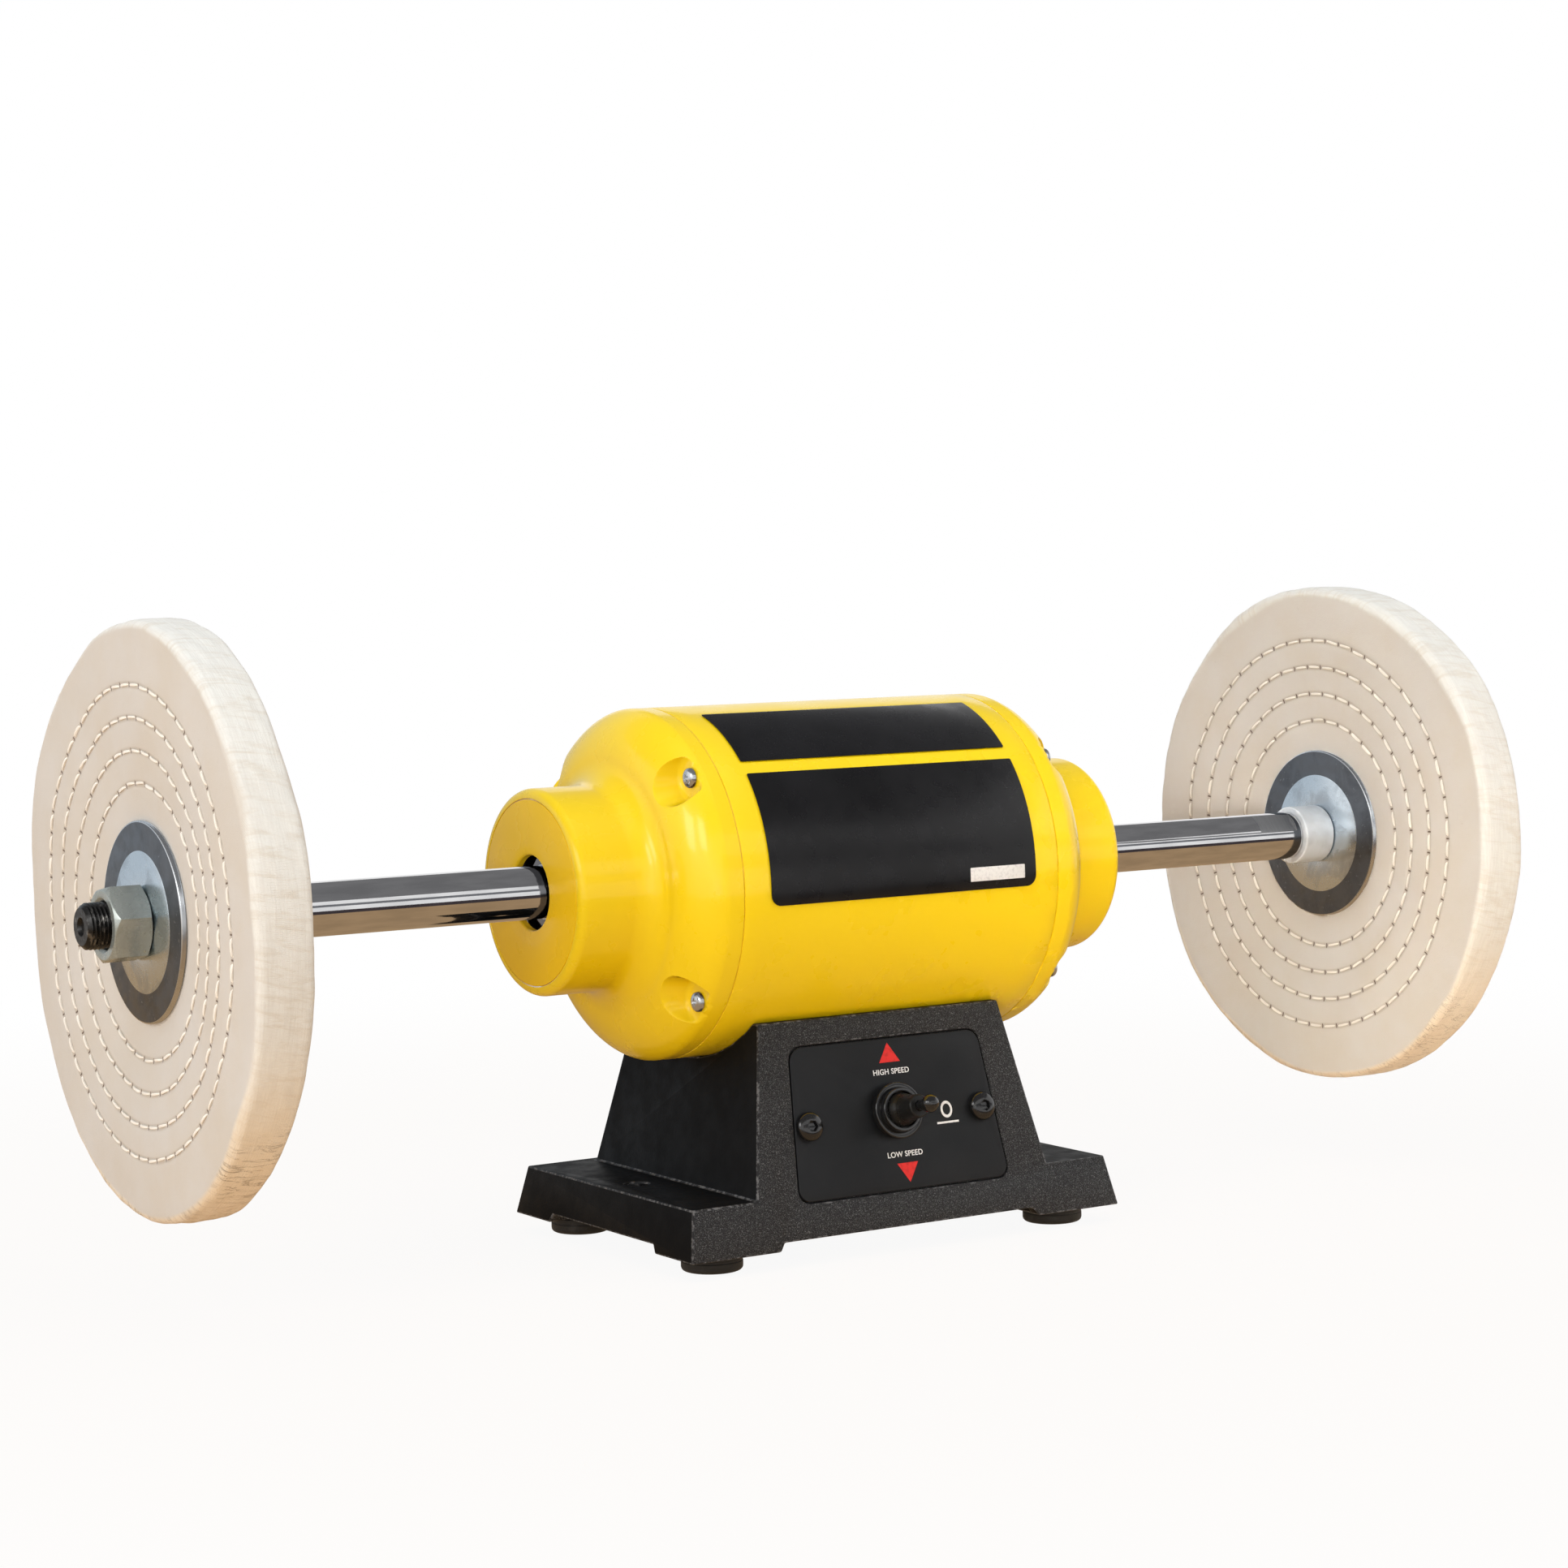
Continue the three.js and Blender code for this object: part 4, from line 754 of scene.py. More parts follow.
FINISHES = {
    maker.__name__: maker
    for maker in (
        yellow_enamel, cover_enamel, wrinkle_coat, smooth_coat, worn_edge, satin_sheet, polished_steel,
        milled_flat, bearing_steel, zinc_plate, zinc_ring, zinc_rim, nut_zinc, pale_collar, sewn_cotton,
        stitch_thread, laminations, copper_winding, capacitor_can, lead_sleeve,
    )
} | {
    "black_rubber": plain(
        (0.012, 0.012, 0.012), 0.62, ((240, 4), 0.55, 0.75, (0.011, 0.011, 0.011), (0.028, 0.027, 0.026)),
        ((90, 3), 0.5, 0.72), ((1800, 2), 0.00005), sheen_weight=0.08,
    ),
    "black_gloss": plain(
        (0.008, 0.008, 0.0085), 0.13, None, ((260, 3), 0.1, 0.22), ((1400, 1), 0.00002),
        coat_weight=0.6, coat_roughness=0.04,
    ),
    "boot_rubber": plain(
        (0.009, 0.009, 0.009), 0.32, None, ((300, 3), 0.26, 0.42), ((1900, 2), 0.00003),
        specular_ior_level=0.35,
    ),
    "label_film": plain(
        (0.009, 0.009, 0.0105), 0.27, ((40, 3), 0.3, 0.7, (0.006, 0.006, 0.007), (0.01, 0.01, 0.0115)),
        ((120, 3), 0.24, 0.33), ((900, 2), 0.000015), specular_ior_level=0.32,
    ),
    "white_print": plain(
        (0.8, 0.8, 0.79), 0.45, ((900, 3), 0.45, 0.75, (0.82, 0.82, 0.81), (0.66, 0.66, 0.66))
    ),
    "red_print": plain(
        (0.62, 0.02, 0.016), 0.4, ((600, 3), 0.4, 0.7, (0.68, 0.022, 0.018), (0.5, 0.016, 0.012))
    ),
    # The lighter patches on the arbor's thread are painted glints.
    "thread_steel": plain(
        (0.06, 0.058, 0.055), 0.28, ((260, 3, 0.6), 0.56, 0.7, (0.04, 0.039, 0.038), (0.2, 0.19, 0.175)),
        ((700, 3), 0.24, 0.4), ((1600, 2), 0.000012), metallic=0.9,
    ),
}


def finish(name):
    """The material of that finish, made when it is first asked for."""
    title = f"{name}_finish"
    return bpy.data.materials.get(title) or FINISHES[name](title).material


# -------------------------------------------------------------------- sizes


def colour(name, description, default):
    return bpy.props.FloatVectorProperty(
        name=name, description=description, subtype="COLOR", min=0, max=1, default=default
    )


def length(name, description, default, low, high):
    return bpy.props.FloatProperty(
        name=name, description=description, unit="LENGTH", default=default, min=low, max=high
    )


def power(name, description, default):
    return bpy.props.FloatProperty(name=name, description=description, unit="POWER", default=default, min=0)


class BufferColours(bpy.types.PropertyGroup):
    """Colours of the buffer's finishes."""

    enamel: colour("Enamel", "Yellow of the motor", (0.95, 0.68, 0.006))
    casting: colour("Casting", "Wrinkle coat of the stand", (0.014, 0.0145, 0.016))
    plate: colour("Switch plate", "Sheet let into the stand's front", (0.0065, 0.007, 0.008))
    cotton: colour("Cotton", "Cloth of the wheels", (0.64, 0.613, 0.575))
    thread: colour("Thread", "Thread of the sewn rings", (0.96, 0.92, 0.84))


class BufferSizes(bpy.types.PropertyGroup):
    """Sizes of the details that the CAD leaves plain."""

    edge: length("Casting edges", "Rounding of the casting's edges", 0.0007, 0.0001, 0.002)
    lip: length("Pocket lips", "How softly the screw pockets' lips are rounded", 0.002, 0.0002, 0.004)
    stitch_pitch: length("Stitch pitch", "From one stitch to the next", 0.0082, 0.003, 0.012)
    stitch_radius: length("Thread radius", "Half the thread's thickness", 0.00052, 0.0001, 0.001)
    waviness: length("Cloth waves", "How far the cloth strays from a true disc", 0.0006, 0, 0.002)
    thread_pitch: length("Arbor thread", "Pitch of the arbor's thread", 0.001411, 0.0005, 0.004)


class BufferStage(bpy.types.PropertyGroup):
    """Lamps round the buffer."""

    overhead: power("Overhead", "Power of the lamp above", 9)
    fill: power("Fill", "Power of the lamp at the left", 3.5)
    front: power("Front", "Power of the lamp in front", 19)
    low: power("Low", "Power of the lamp on the right wheel", 0.16)
    window: power("Windows", "Power of each lamp that the bell mirrors", 2.6)
    side: power("Side", "Power of the lamp at the right", 5)
    world: bpy.props.FloatProperty(
        name="World", description="Strength of the light from all round", default=0.45, min=0
    )


# ------------------------------------------------------------------ the stand


class MakeCasting(bpy.types.Operator):
    """Cast stand with softened, lightly worn edges"""

    bl_idname = "buffer.casting"
    bl_label = "Casting"

    def execute(self, context):
        piece = piece_from_node("stand_casting", "base_casting")
        for look in ("wrinkle_coat", "worn_edge", "smooth_coat"):
            piece.data.materials.append(finish(look))
        soften(piece, sizes().edge / MM, 2, 28, material=1, use_clamp_overlap=False)
        smooth(piece, 35)
        front = FRONT.inverted()
        pocket = Vector((47, 28.5, 3))  # half sizes of the switch plate's pocket, whose edges aren't worn
        for face in piece.data.polygons:
            place = front @ face.center / MM
            # The side and top faces take the darker smooth coat, which is painted shade.
            if face.material_index == 0 and abs(face.normal.y) < 0.6:
                face.material_index = 2
            elif all(abs(here) < half for here, half in zip(place, pocket)):
                face.material_index = 0
        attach(piece, "stand")
        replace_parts(piece, "base_casting")
        return {"FINISHED"}


class MakeFeet(bpy.types.Operator):
    """Four moulded rubber feet"""

    bl_idname = "buffer.feet"
    bl_label = "Rubber feet"

    def execute(self, context):
        top, radius, rounding = 6.0, 11.07, 1.6
        stem, bulb = 4.0, 5.2
        outline = [
            (0, 1.0), (3.6, 1.0), (4.4, 0.35), *arc(radius - rounding, rounding, rounding, -90, 0, 6),
            (radius, 3.4), (radius - 0.25, 3.6), (radius - 0.25, 3.9), (radius, 4.1),
            (radius, top - 0.5), (radius - 0.5, top), (stem, top), (stem, 14.6),
            (bulb, 14.6), (bulb, 15.2), (stem, 18.6), (0, 18.6),
        ]
        first = turned("foot", outline, 48)
        for end, y in (("front", -47.4), ("back", 47.4)):
            for side, x in (("left", -75.0), ("right", 75.0)):
                foot = copied(first, f"rubber_foot_{end}_{side}", shift(x, y))
                dressed(foot, "black_rubber", "stand", "rubber", f"foot_{end}_{side}")
        bpy.data.objects.remove(first)
        return {"FINISHED"}


def text_piece(words, height, x, y):
    """Flat lettering, made a mesh and set on the switch plate's face."""
    bare()
    bpy.ops.object.text_add()
    piece = bpy.context.object
    piece.data.body = words
    piece.data.align_x = "CENTER"
    piece.data.align_y = "CENTER"
    piece.data.size = height * 1.4 * MM
    piece.data.space_character = 1.05
    piece.data.offset = 0.00004
    piece.data.extrude = 0.00003
    bpy.ops.object.convert(target="MESH")
    return placed(bpy.context.object, shift(x, y, (MARK_LOW + MARK_HIGH) / 2))


def mark_ring(outer, inner, x, y, narrow):
    outline = [(inner, MARK_LOW), (inner, MARK_HIGH), (outer, MARK_HIGH), (outer, MARK_LOW)]
    ring = turned("ring", outline, 48, closed=True)
    return placed(ring, shift(x, y) @ Matrix.Diagonal((narrow, 1, 1, 1)))


class MakeSwitchPlate(bpy.types.Operator):
    """Switch plate let into the sloping front, with plain marks"""

    bl_idname = "buffer.switch_plate"
    bl_label = "Switch plate"

    def execute(self, context):
        height, top, bottom, corner, thickness = 55.1, 41.0, 45.8, 5.0, 1.5
        bare()
        bpy.ops.mesh.primitive_plane_add(size=1, location=(0, 0, MARK_LOW * MM))
        plate = named(bpy.context.object, "plate")
        plate.scale = (2 * bottom * MM, height * MM, 1)
        placed(plate, Matrix())
        with editing(plate, "VERT", lambda v: v.co.y > 0):
            bpy.ops.transform.resize(value=(top / bottom, 1, 1))
        with editing(plate, "VERT"):
            bpy.ops.mesh.bevel(offset=corner * MM, segments=10, affect="VERTICES")
        with editing(plate, "FACE"):
            bpy.ops.mesh.extrude_region_move(TRANSFORM_OT_translate={"value": (0, 0, -thickness * MM)})
        with editing(plate):
            bpy.ops.mesh.normals_make_consistent(inside=False)
        boolean(plate, prism("hole", 48, 6.3, -3, 1, shift(0, TOGGLE_RISE)))
        for _, x in PLATE_SCREWS:
            boolean(plate, prism("hole", 32, SCREW_HOLE_R, -3, 1, shift(x, PLATE_SCREW_Y)))
        soften(plate, 0.35, 3, 50)
        smooth(plate, 35)
        placed(plate, FRONT)
        dressed(plate, "satin_sheet", "stand", "black_sheet", "switch_plate")
        named(plate, "front_plate")

        whites = [
            mark_ring(3.1, 2.05, 22.5, -0.6, 0.82),
            block("line", (17.6, -5.7, MARK_LOW), (27.2, -4.95, MARK_HIGH)),
            text_piece("HIGH SPEED", 2.0, 0.9, 15.35),
            text_piece("LOW SPEED", 2.0, 1.6, -14.85),
        ]
        white = placed(joined("plate_marks_white", *whites), FRONT)
        dressed(white, "white_print", "stand", "black_sheet")
        reds = []
        for x, y, roll in ((0.9, 21.2, 0.0), (2.1, -20.4, math.pi)):
            mark = prism("mark", 3, 5.0, MARK_LOW, MARK_HIGH)
            mark.scale = (1.05, 0.95, 1)
            reds.append(placed(mark, shift(x, y) @ turn_z(roll)))
        red = placed(joined("plate_marks_red", *reds), FRONT)
        dressed(red, "red_print", "stand", "black_sheet")
        return {"FINISHED"}


def pan_head(name, radius, height, shank_radius, shank_length, recess):
    """A domed screw with a cross or hexagon recess, its head's underside at height 0."""
    rim = 0.35 * height
    turns = [i / 10 * math.pi / 2 for i in range(10)]
    crown = [(radius * math.cos(t) ** 0.72, rim + (height - rim) * math.sin(t)) for t in turns]
    shank = [(0, -shank_length), (shank_radius, -shank_length), (shank_radius, 0)]
    screw = turned(name, [*shank, (radius - 0.25, 0), (radius, 0.25), *crown, (0, height)], 48)
    if recess == "cross":
        boolean(screw, cross_tool(radius * 0.56, radius * 0.13, height * 0.62, height))
    else:
        boolean(screw, prism("socket", 6, radius * 0.4, rim, height + 1))
    soften(screw, 0.08, 2, 40)
    smooth(screw, 35)
    return screw


class MakePlateScrews(bpy.types.Operator):
    """Two glossy black screws that hold the switch plate"""

    bl_idname = "buffer.plate_screws"
    bl_label = "Plate screws"

    def execute(self, context):
        for (side, x), turn in zip(PLATE_SCREWS, (0.4, 1.1)):
            screw = pan_head(f"black_screw_{side}", 5.3, 3.2, 2.0, 9.0, "socket")
            placed(screw, FRONT @ shift(x, PLATE_SCREW_Y, 0.1) @ turn_z(turn))
            dressed(screw, "black_gloss", "stand", "black_steel", f"plate_screw_{side}")
        return {"FINISHED"}


class MakeToggleNut(bpy.types.Operator):
    """Ring nut round the toggle"""

    bl_idname = "buffer.toggle_nut"
    bl_label = "Toggle nut"

    def execute(self, context):
        low, high = 0.1, 3.1
        outline = [
            (6.4, low), (9.85, low), (10.25, 0.5), (10.25, high - 0.5),
            *arc(9.75, high - 0.5, 0.5, 0, 90, 4), (8.3, high), (8.0, high - 0.15), (8.0, 4.95),
            *arc(7.65, 4.95, 0.35, 0, 90, 3)[1:], (6.8, 5.3), (6.8, 1.2), (6.4, 1.2),
        ]
        nut = placed(turned("ring_nut", outline, 72, closed=True), FRONT @ shift(0, TOGGLE_RISE))
        dressed(nut, "black_gloss", "stand", "black_plastic", "switch_nut")
        return {"FINISHED"}


class MakeToggleLever(bpy.types.Operator):
    """Toggle lever in its rubber boot"""

    bl_idname = "buffer.toggle_lever"
    bl_label = "Toggle lever"

    def execute(self, context):
        base = FRONT @ shift(0, TOGGLE_RISE, TOGGLE_BALL_H)
        ball, reach = 6.2, 12.3
        seat = arc(0, 0, ball, -8.3, 34, 10)
        folds = [(5.35, 3.75), (5.05, 4.4), (5.15, 4.95), (4.85, 5.7), (4.7, 6.6)]
        mouth = arc(3.6, reach - 0.6, 0.6, 10, 90, 4)
        outline = [(2.2, -0.9), *seat, *folds, (4.25, reach - 1.4), *mouth, (2.0, reach), (2.0, -0.6)]
        boot = placed(turned("rubber_boot", outline, 64, closed=True), base)
        dressed(boot, "boot_rubber", "toggle", "rubber", "toggle_boot")
        tip, radius, stem = 18.8, 3.35, 1.9
        neck = math.acos(stem / radius)
        outline = [
            (0, -9), (1.1, -9), (1.3, -8.8), (1.3, -1.3), (stem, -1.3),
            (stem, tip - radius * math.sin(neck) - 0.3),
            *arc(0, tip, radius, 4 - math.degrees(neck), 88, 18), (0, tip + radius),
        ]
        lever = placed(turned("ball_lever", outline, 48), base)
        dressed(lever, "black_gloss", "toggle", "black_plastic", "toggle_lever")
        return {"FINISHED"}


class MakeGrommet(bpy.types.Operator):
    """Rubber cord inlet in the stand's back"""

    bl_idname = "buffer.grommet"
    bl_label = "Cord inlet"

    def execute(self, context):
        grommet = piece_from_node("rubber_inlet", "cord_grommet")
        soften(grommet, 0.3, 3, 25)
        modify(grommet, "SUBSURF", levels=1, render_levels=1)
        smooth(grommet, 40)
        dressed(grommet, "black_rubber", "stand", "rubber", "cord_grommet")
        return {"FINISHED"}


# ------------------------------------------------------------------ the motor


class MakeBarrel(bpy.types.Operator):
    """Yellow barrel between the end bells"""

    bl_idname = "buffer.barrel"
    bl_label = "Barrel"

    def execute(self, context):
        end, inner = SEAM - FIT / 2, BARREL_R - 2
        lip = ((0.4, 0), (0.1, 0.12), (0, 0.4))
        lower = [(inner, -end)] + [(BARREL_R - back, rise - end) for back, rise in lip]
        upper = [(r, -x) for r, x in lower[::-1]]
        outline = [*lower, *[(BARREL_R, x) for x in np.linspace(-60, 60, 13)], *upper]
        barrel = placed(turned("yellow_barrel", outline, 180, closed=True), AXLE)
        # Two holes for the saddle's bolts, and one for the leads
        for x, y, radius, top in ((-40, 0, 3.3, 75), (40, 0, 3.3, 75), (36, -22, 5.0, 80)):
            boolean(barrel, prism("hole", 32, radius, 60, top, shift(x, y)))
        smooth(barrel, 30)
        dressed(barrel, "yellow_enamel", "stand", "yellow_paint", "motor_housing")
        return {"FINISHED"}


def wrapped(piece, radius):
    """Bends a flat panel round the barrel: its Y becomes the way round, up from the front."""

    def change(points):
        turn = points[:, 1] / radius
        out = radius + points[:, 2]
        return np.stack([points[:, 0], -out * np.cos(turn), AXIS_Z + out * np.sin(turn)], 1)

    moved_points(piece, change)
    return piece


def panel(name, half_length, low, high, corners, thickness, radius):
    """A thin curved panel on the barrel between two angles, with its chosen corners rounded."""
    low, high = (radius * math.radians(a) for a in (low, high))
    middle = (low + high) / 2 * MM
    bare()
    bpy.ops.mesh.primitive_plane_add(size=1, location=(0, middle, 0))
    piece = named(bpy.context.object, name)
    piece.scale = (2 * half_length * MM, (high - low) * MM, 1)
    placed(piece, Matrix())
    for above, rounding in zip((False, True), corners):
        if rounding:
            with editing(piece, "VERT", lambda v: (v.co.y > middle) == above):
                bpy.ops.mesh.bevel(offset=rounding * MM, segments=8, affect="VERTICES")
    count = max(2, round((high - low) / 1.6))
    for i in range(1, count):
        with editing(piece):
            bpy.ops.mesh.bisect(plane_co=(0, (low + (high - low) * i / count) * MM, 0), plane_no=(0, 1, 0))
    with editing(piece, "FACE"):
        bpy.ops.mesh.extrude_region_move(TRANSFORM_OT_translate={"value": (0, 0, thickness * MM)})
    with editing(piece):
        bpy.ops.mesh.remove_doubles(threshold=1e-6)
        bpy.ops.mesh.normals_make_consistent(inside=False)
    wrapped(piece, radius)
    soften(piece, 0.07, 2, 60)
    smooth(piece, 35)
    return piece


class MakeLabels(bpy.types.Operator):
    """Two bare black panels on the barrel, and a small pale field"""

    bl_idname = "buffer.labels"
    bl_label = "Label panels"

    def execute(self, context):
        panels = (("lower", -4.2, 40.0, (4.0, 0.6)), ("upper", 45.0, 72.6, (0.6, 0.6)))
        for place, low, high, corners in panels:
            film = panel(f"black_panel_{place}", 57.5, low, high, corners, 0.3, BARREL_R + FIT)
            dressed(film, "label_film", "stand", "black_label", f"label_{place}")
        field = panel("pale_field", 12.2, -1.4, 3.1, (0.3, 0.3), 0.05, BARREL_R + FIT + 0.28)
        placed(field, shift(40.2, 0))
        dressed(field, "white_print", "stand", "black_label")
        return {"FINISHED"}


def bell_outside(inset=0.0):
    """The bell's outer outline, from its rim to its face, or one that lies further in."""
    rim = [(BARREL_R - inset - back, BELL_START + rise) for back, rise in ((0.4, 0), (0.1, 0.12), (0, 0.4))]
    shoulder = dome(DOME_START, BARREL_R, DOME_LENGTH, BARREL_R - NECK_R, DOME_FULLNESS, 22)
    neck = arc(NECK_R, NECK_START, NECK_FILLET, 270, 180, 12)[1:]
    nose = arc(BOSS_R - NOSE_ROUNDING, BELL_FACE - NOSE_ROUNDING, NOSE_ROUNDING, 0, 90, 8)
    return rim + [(r - inset, h - inset) for r, h in shoulder + neck + nose]


def pocket_place(angle):
    """To where a bell's screw stands, in the frame of the shaft: local X is down and local Y is back."""
    a = math.radians(angle)
    return shift(-POCKET_CIRCLE * math.sin(a), -POCKET_CIRCLE * math.cos(a))


class MakeEndBells(bpy.types.Operator):
    """Domed end bells with scooped screw pockets"""

    bl_idname = "buffer.end_bells"
    bl_label = "End bells"

    def execute(self, context):
        spigot = 3.0  # depth and width of the step that goes into the barrel
        seat_r, bore_r = 23.8, 18
        seat_back, seat_front, cover_seat = 97.0, 113.1, BELL_FACE - 3
        inner_r = BARREL_R - 2 - FIT - spigot
        length = DOME_LENGTH - BELL_WALL
        inner_dome = dome(DOME_START, inner_r, length, inner_r - NECK_R, DOME_FULLNESS, 10)
        inner_neck = arc(NECK_R, NECK_START, NECK_FILLET + BELL_WALL, 270, 180, 8)[1:-1]
        outline = [
            *bell_outside(), (COVER_R + 0.45, BELL_FACE), (COVER_R + 0.3, BELL_FACE - 0.15),
            (COVER_R + 0.3, cover_seat), (bore_r, cover_seat), (bore_r, seat_front), (seat_r, seat_front),
            (seat_r, seat_back), (NECK_R - NECK_FILLET - BELL_WALL, seat_back),
            *inner_neck[::-1], *inner_dome[:-1][::-1],
            (inner_r, BELL_START - spigot), (inner_r + spigot, BELL_START - spigot),
            (inner_r + spigot, BELL_START),
        ]
        bell = turned("yellow_bell_right", outline, 144, closed=True)

        places = [pocket_place(angle) for angle in POCKET_ANGLES]
        low, high = BELL_START + 0.03, DOME_START + length
        bosses, *others = [prism("boss", 48, POCKET_R + 1.7, low, high, place) for place in places]
        for other in others:
            bosses = joined("bosses", bosses, other)
        inset = 0.6
        inside = turned("inside", [(0, BELL_START), *bell_outside(inset), (0, BELL_FACE - inset)], 96)
        boolean(bosses, inside, "INTERSECT")
        boolean(bell, bosses, "UNION")
        low = BELL_START - 2 * spigot
        for place in places:
            boolean(bell, self.scoop(place.translation))
            boolean(bell, prism("hole", 24, SCREW_HOLE_R, low, POCKET_FLOOR + 1, place))
            boolean(bell, prism("relief", 32, 6.3, low, BELL_START, place))
        smooth(bell, 32)
        modify(bell, "WEIGHTED_NORMAL", keep_sharp=True, weight=50)
        left = copied(bell, "yellow_bell_left", turn_z(math.pi) @ AXLE)
        placed(bell, AXLE)
        for side, piece in (("left", left), ("right", bell)):
            dressed(piece, "yellow_enamel", "stand", "yellow_paint", f"end_bell_{side}")
            piece.visible_glossy = False
        return {"FINISHED"}

    def scoop(self, centre):
        """A cutting tool whose wall flares into the bell's outside: crisp above, soft below."""
        rounding = 2.4
        soft = sizes().lip / MM
        reaches = [0.0, 2.0, 4.0, *np.linspace(5.4, 10.6, 27), 11.4, 12.4]
        low = turned("scoop", [(r, 0) for r in reaches] + [(reaches[-1], 30), (0, 30)], 96)

        def change(points):
            reach = np.hypot(points[:, 0], points[:, 1])
            place = points[:, :2] + np.array(centre.xy) / MM
            radius = np.hypot(place[:, 0], place[:, 1])
            share = np.clip((radius - NECK_R) / (BARREL_R - NECK_R), 0, 1)
            outside = DOME_START + DOME_LENGTH * (1 - share ** DOME_FULLNESS) ** (1 / DOME_FULLNESS)
            neck = np.clip(NECK_R - radius, 0, NECK_FILLET - 0.01)
            outside += NECK_FILLET - np.sqrt(NECK_FILLET ** 2 - neck ** 2)
            outside -= np.clip(radius - BARREL_R, 0, None) * 3
            wall = np.clip(reach - (POCKET_R - rounding), 0, None)
            turned_up = np.clip(wall, 0, rounding * 0.98)
            rise = POCKET_FLOOR + rounding - np.sqrt(rounding ** 2 - turned_up ** 2)
            rise += (wall - turned_up) * 5
            up = -points[:, 0] / np.maximum(reach, 1e-6)
            lip = soft * (0.6 - 0.4 * np.clip(up, -1, 1))
            top = outside + 0.02 + np.clip(reach - 10.2, 0, None) * 0.1
            near = np.clip(lip - np.abs(top - rise), 0, None) / lip
            surface = np.minimum(top, rise) - near ** 2 * lip / 4
            return np.stack([place[:, 0], place[:, 1], np.where(points[:, 2] > 1, 100, surface)], 1)

        moved_points(low, change)
        return low


class MakeBellCovers(bpy.types.Operator):
    """Flush discs in the bells' noses, with the shaft's hole"""

    bl_idname = "buffer.bell_covers"
    bl_label = "Bell covers"

    def execute(self, context):
        outer, hole, hole_r = 0.35, 0.8, 13.5  # roundings of the rim and the hole, and the hole's radius
        outline = [
            (hole_r, COVER_BACK), (COVER_R, COVER_BACK), (COVER_R, BELL_FACE - outer),
            *arc(COVER_R - outer, BELL_FACE - outer, outer, 0, 90, 3)[1:],
            (20, BELL_FACE), *arc(hole_r + hole, BELL_FACE - hole, hole, 90, 180, 5),
        ]
        cover = turned("cover", outline, 128, closed=True)
        for piece in at_both_ends(cover, "nose_cover", "cover_enamel", "yellow_paint", "bell_cover", "stand"):
            piece.visible_glossy = False
        return {"FINISHED"}


class MakeBellScrews(bpy.types.Operator):
    """Zinc pan head screws in the pockets"""

    bl_idname = "buffer.bell_screws"
    bl_label = "Bell screws"

    def execute(self, context):
        screw = pan_head("screw", 3.5, 2.4, 1.6, 8.0, "cross")
        for side, turn in SIDES:
            for number, angle in enumerate(POCKET_ANGLES, 1):
                place = pocket_place(angle) @ shift(0, 0, POCKET_FLOOR + FIT) @ turn_z(angle * 1.7)
                piece = copied(screw, f"zinc_screw_{side}_{number}", turn_z(turn) @ AXLE @ place)
                dressed(piece, "zinc_rim", "stand", "zinc", f"bell_screw_{side}_{number}")
        bpy.data.objects.remove(screw)
        return {"FINISHED"}


# ---------------------------------------------------------------- the spindle


def threaded(piece, low, high, root):
    """Winds a thread round the part of a turned piece between two heights."""
    pitch = sizes().thread_pitch / MM

    def change(points):
        radius = np.hypot(points[:, 0], points[:, 1])
        turn = np.arctan2(points[:, 1], points[:, 0]) / (2 * math.pi)
        wave = np.abs(((points[:, 2] / pitch - turn) % 1) * 2 - 1)
        depth = (ARBOR_R - root) * np.clip(wave * 1.25 - 0.12, 0, 1)
        inside = (points[:, 2] > low) & (points[:, 2] < high) & (radius > root)
        wanted = np.where(inside, np.minimum(radius, ARBOR_R - depth), radius)
        scale = np.where(radius > 1e-6, wanted / np.maximum(radius, 1e-6), 1)
        return points * np.stack([scale, scale, np.ones(len(scale))], 1)

    moved_points(piece, change)


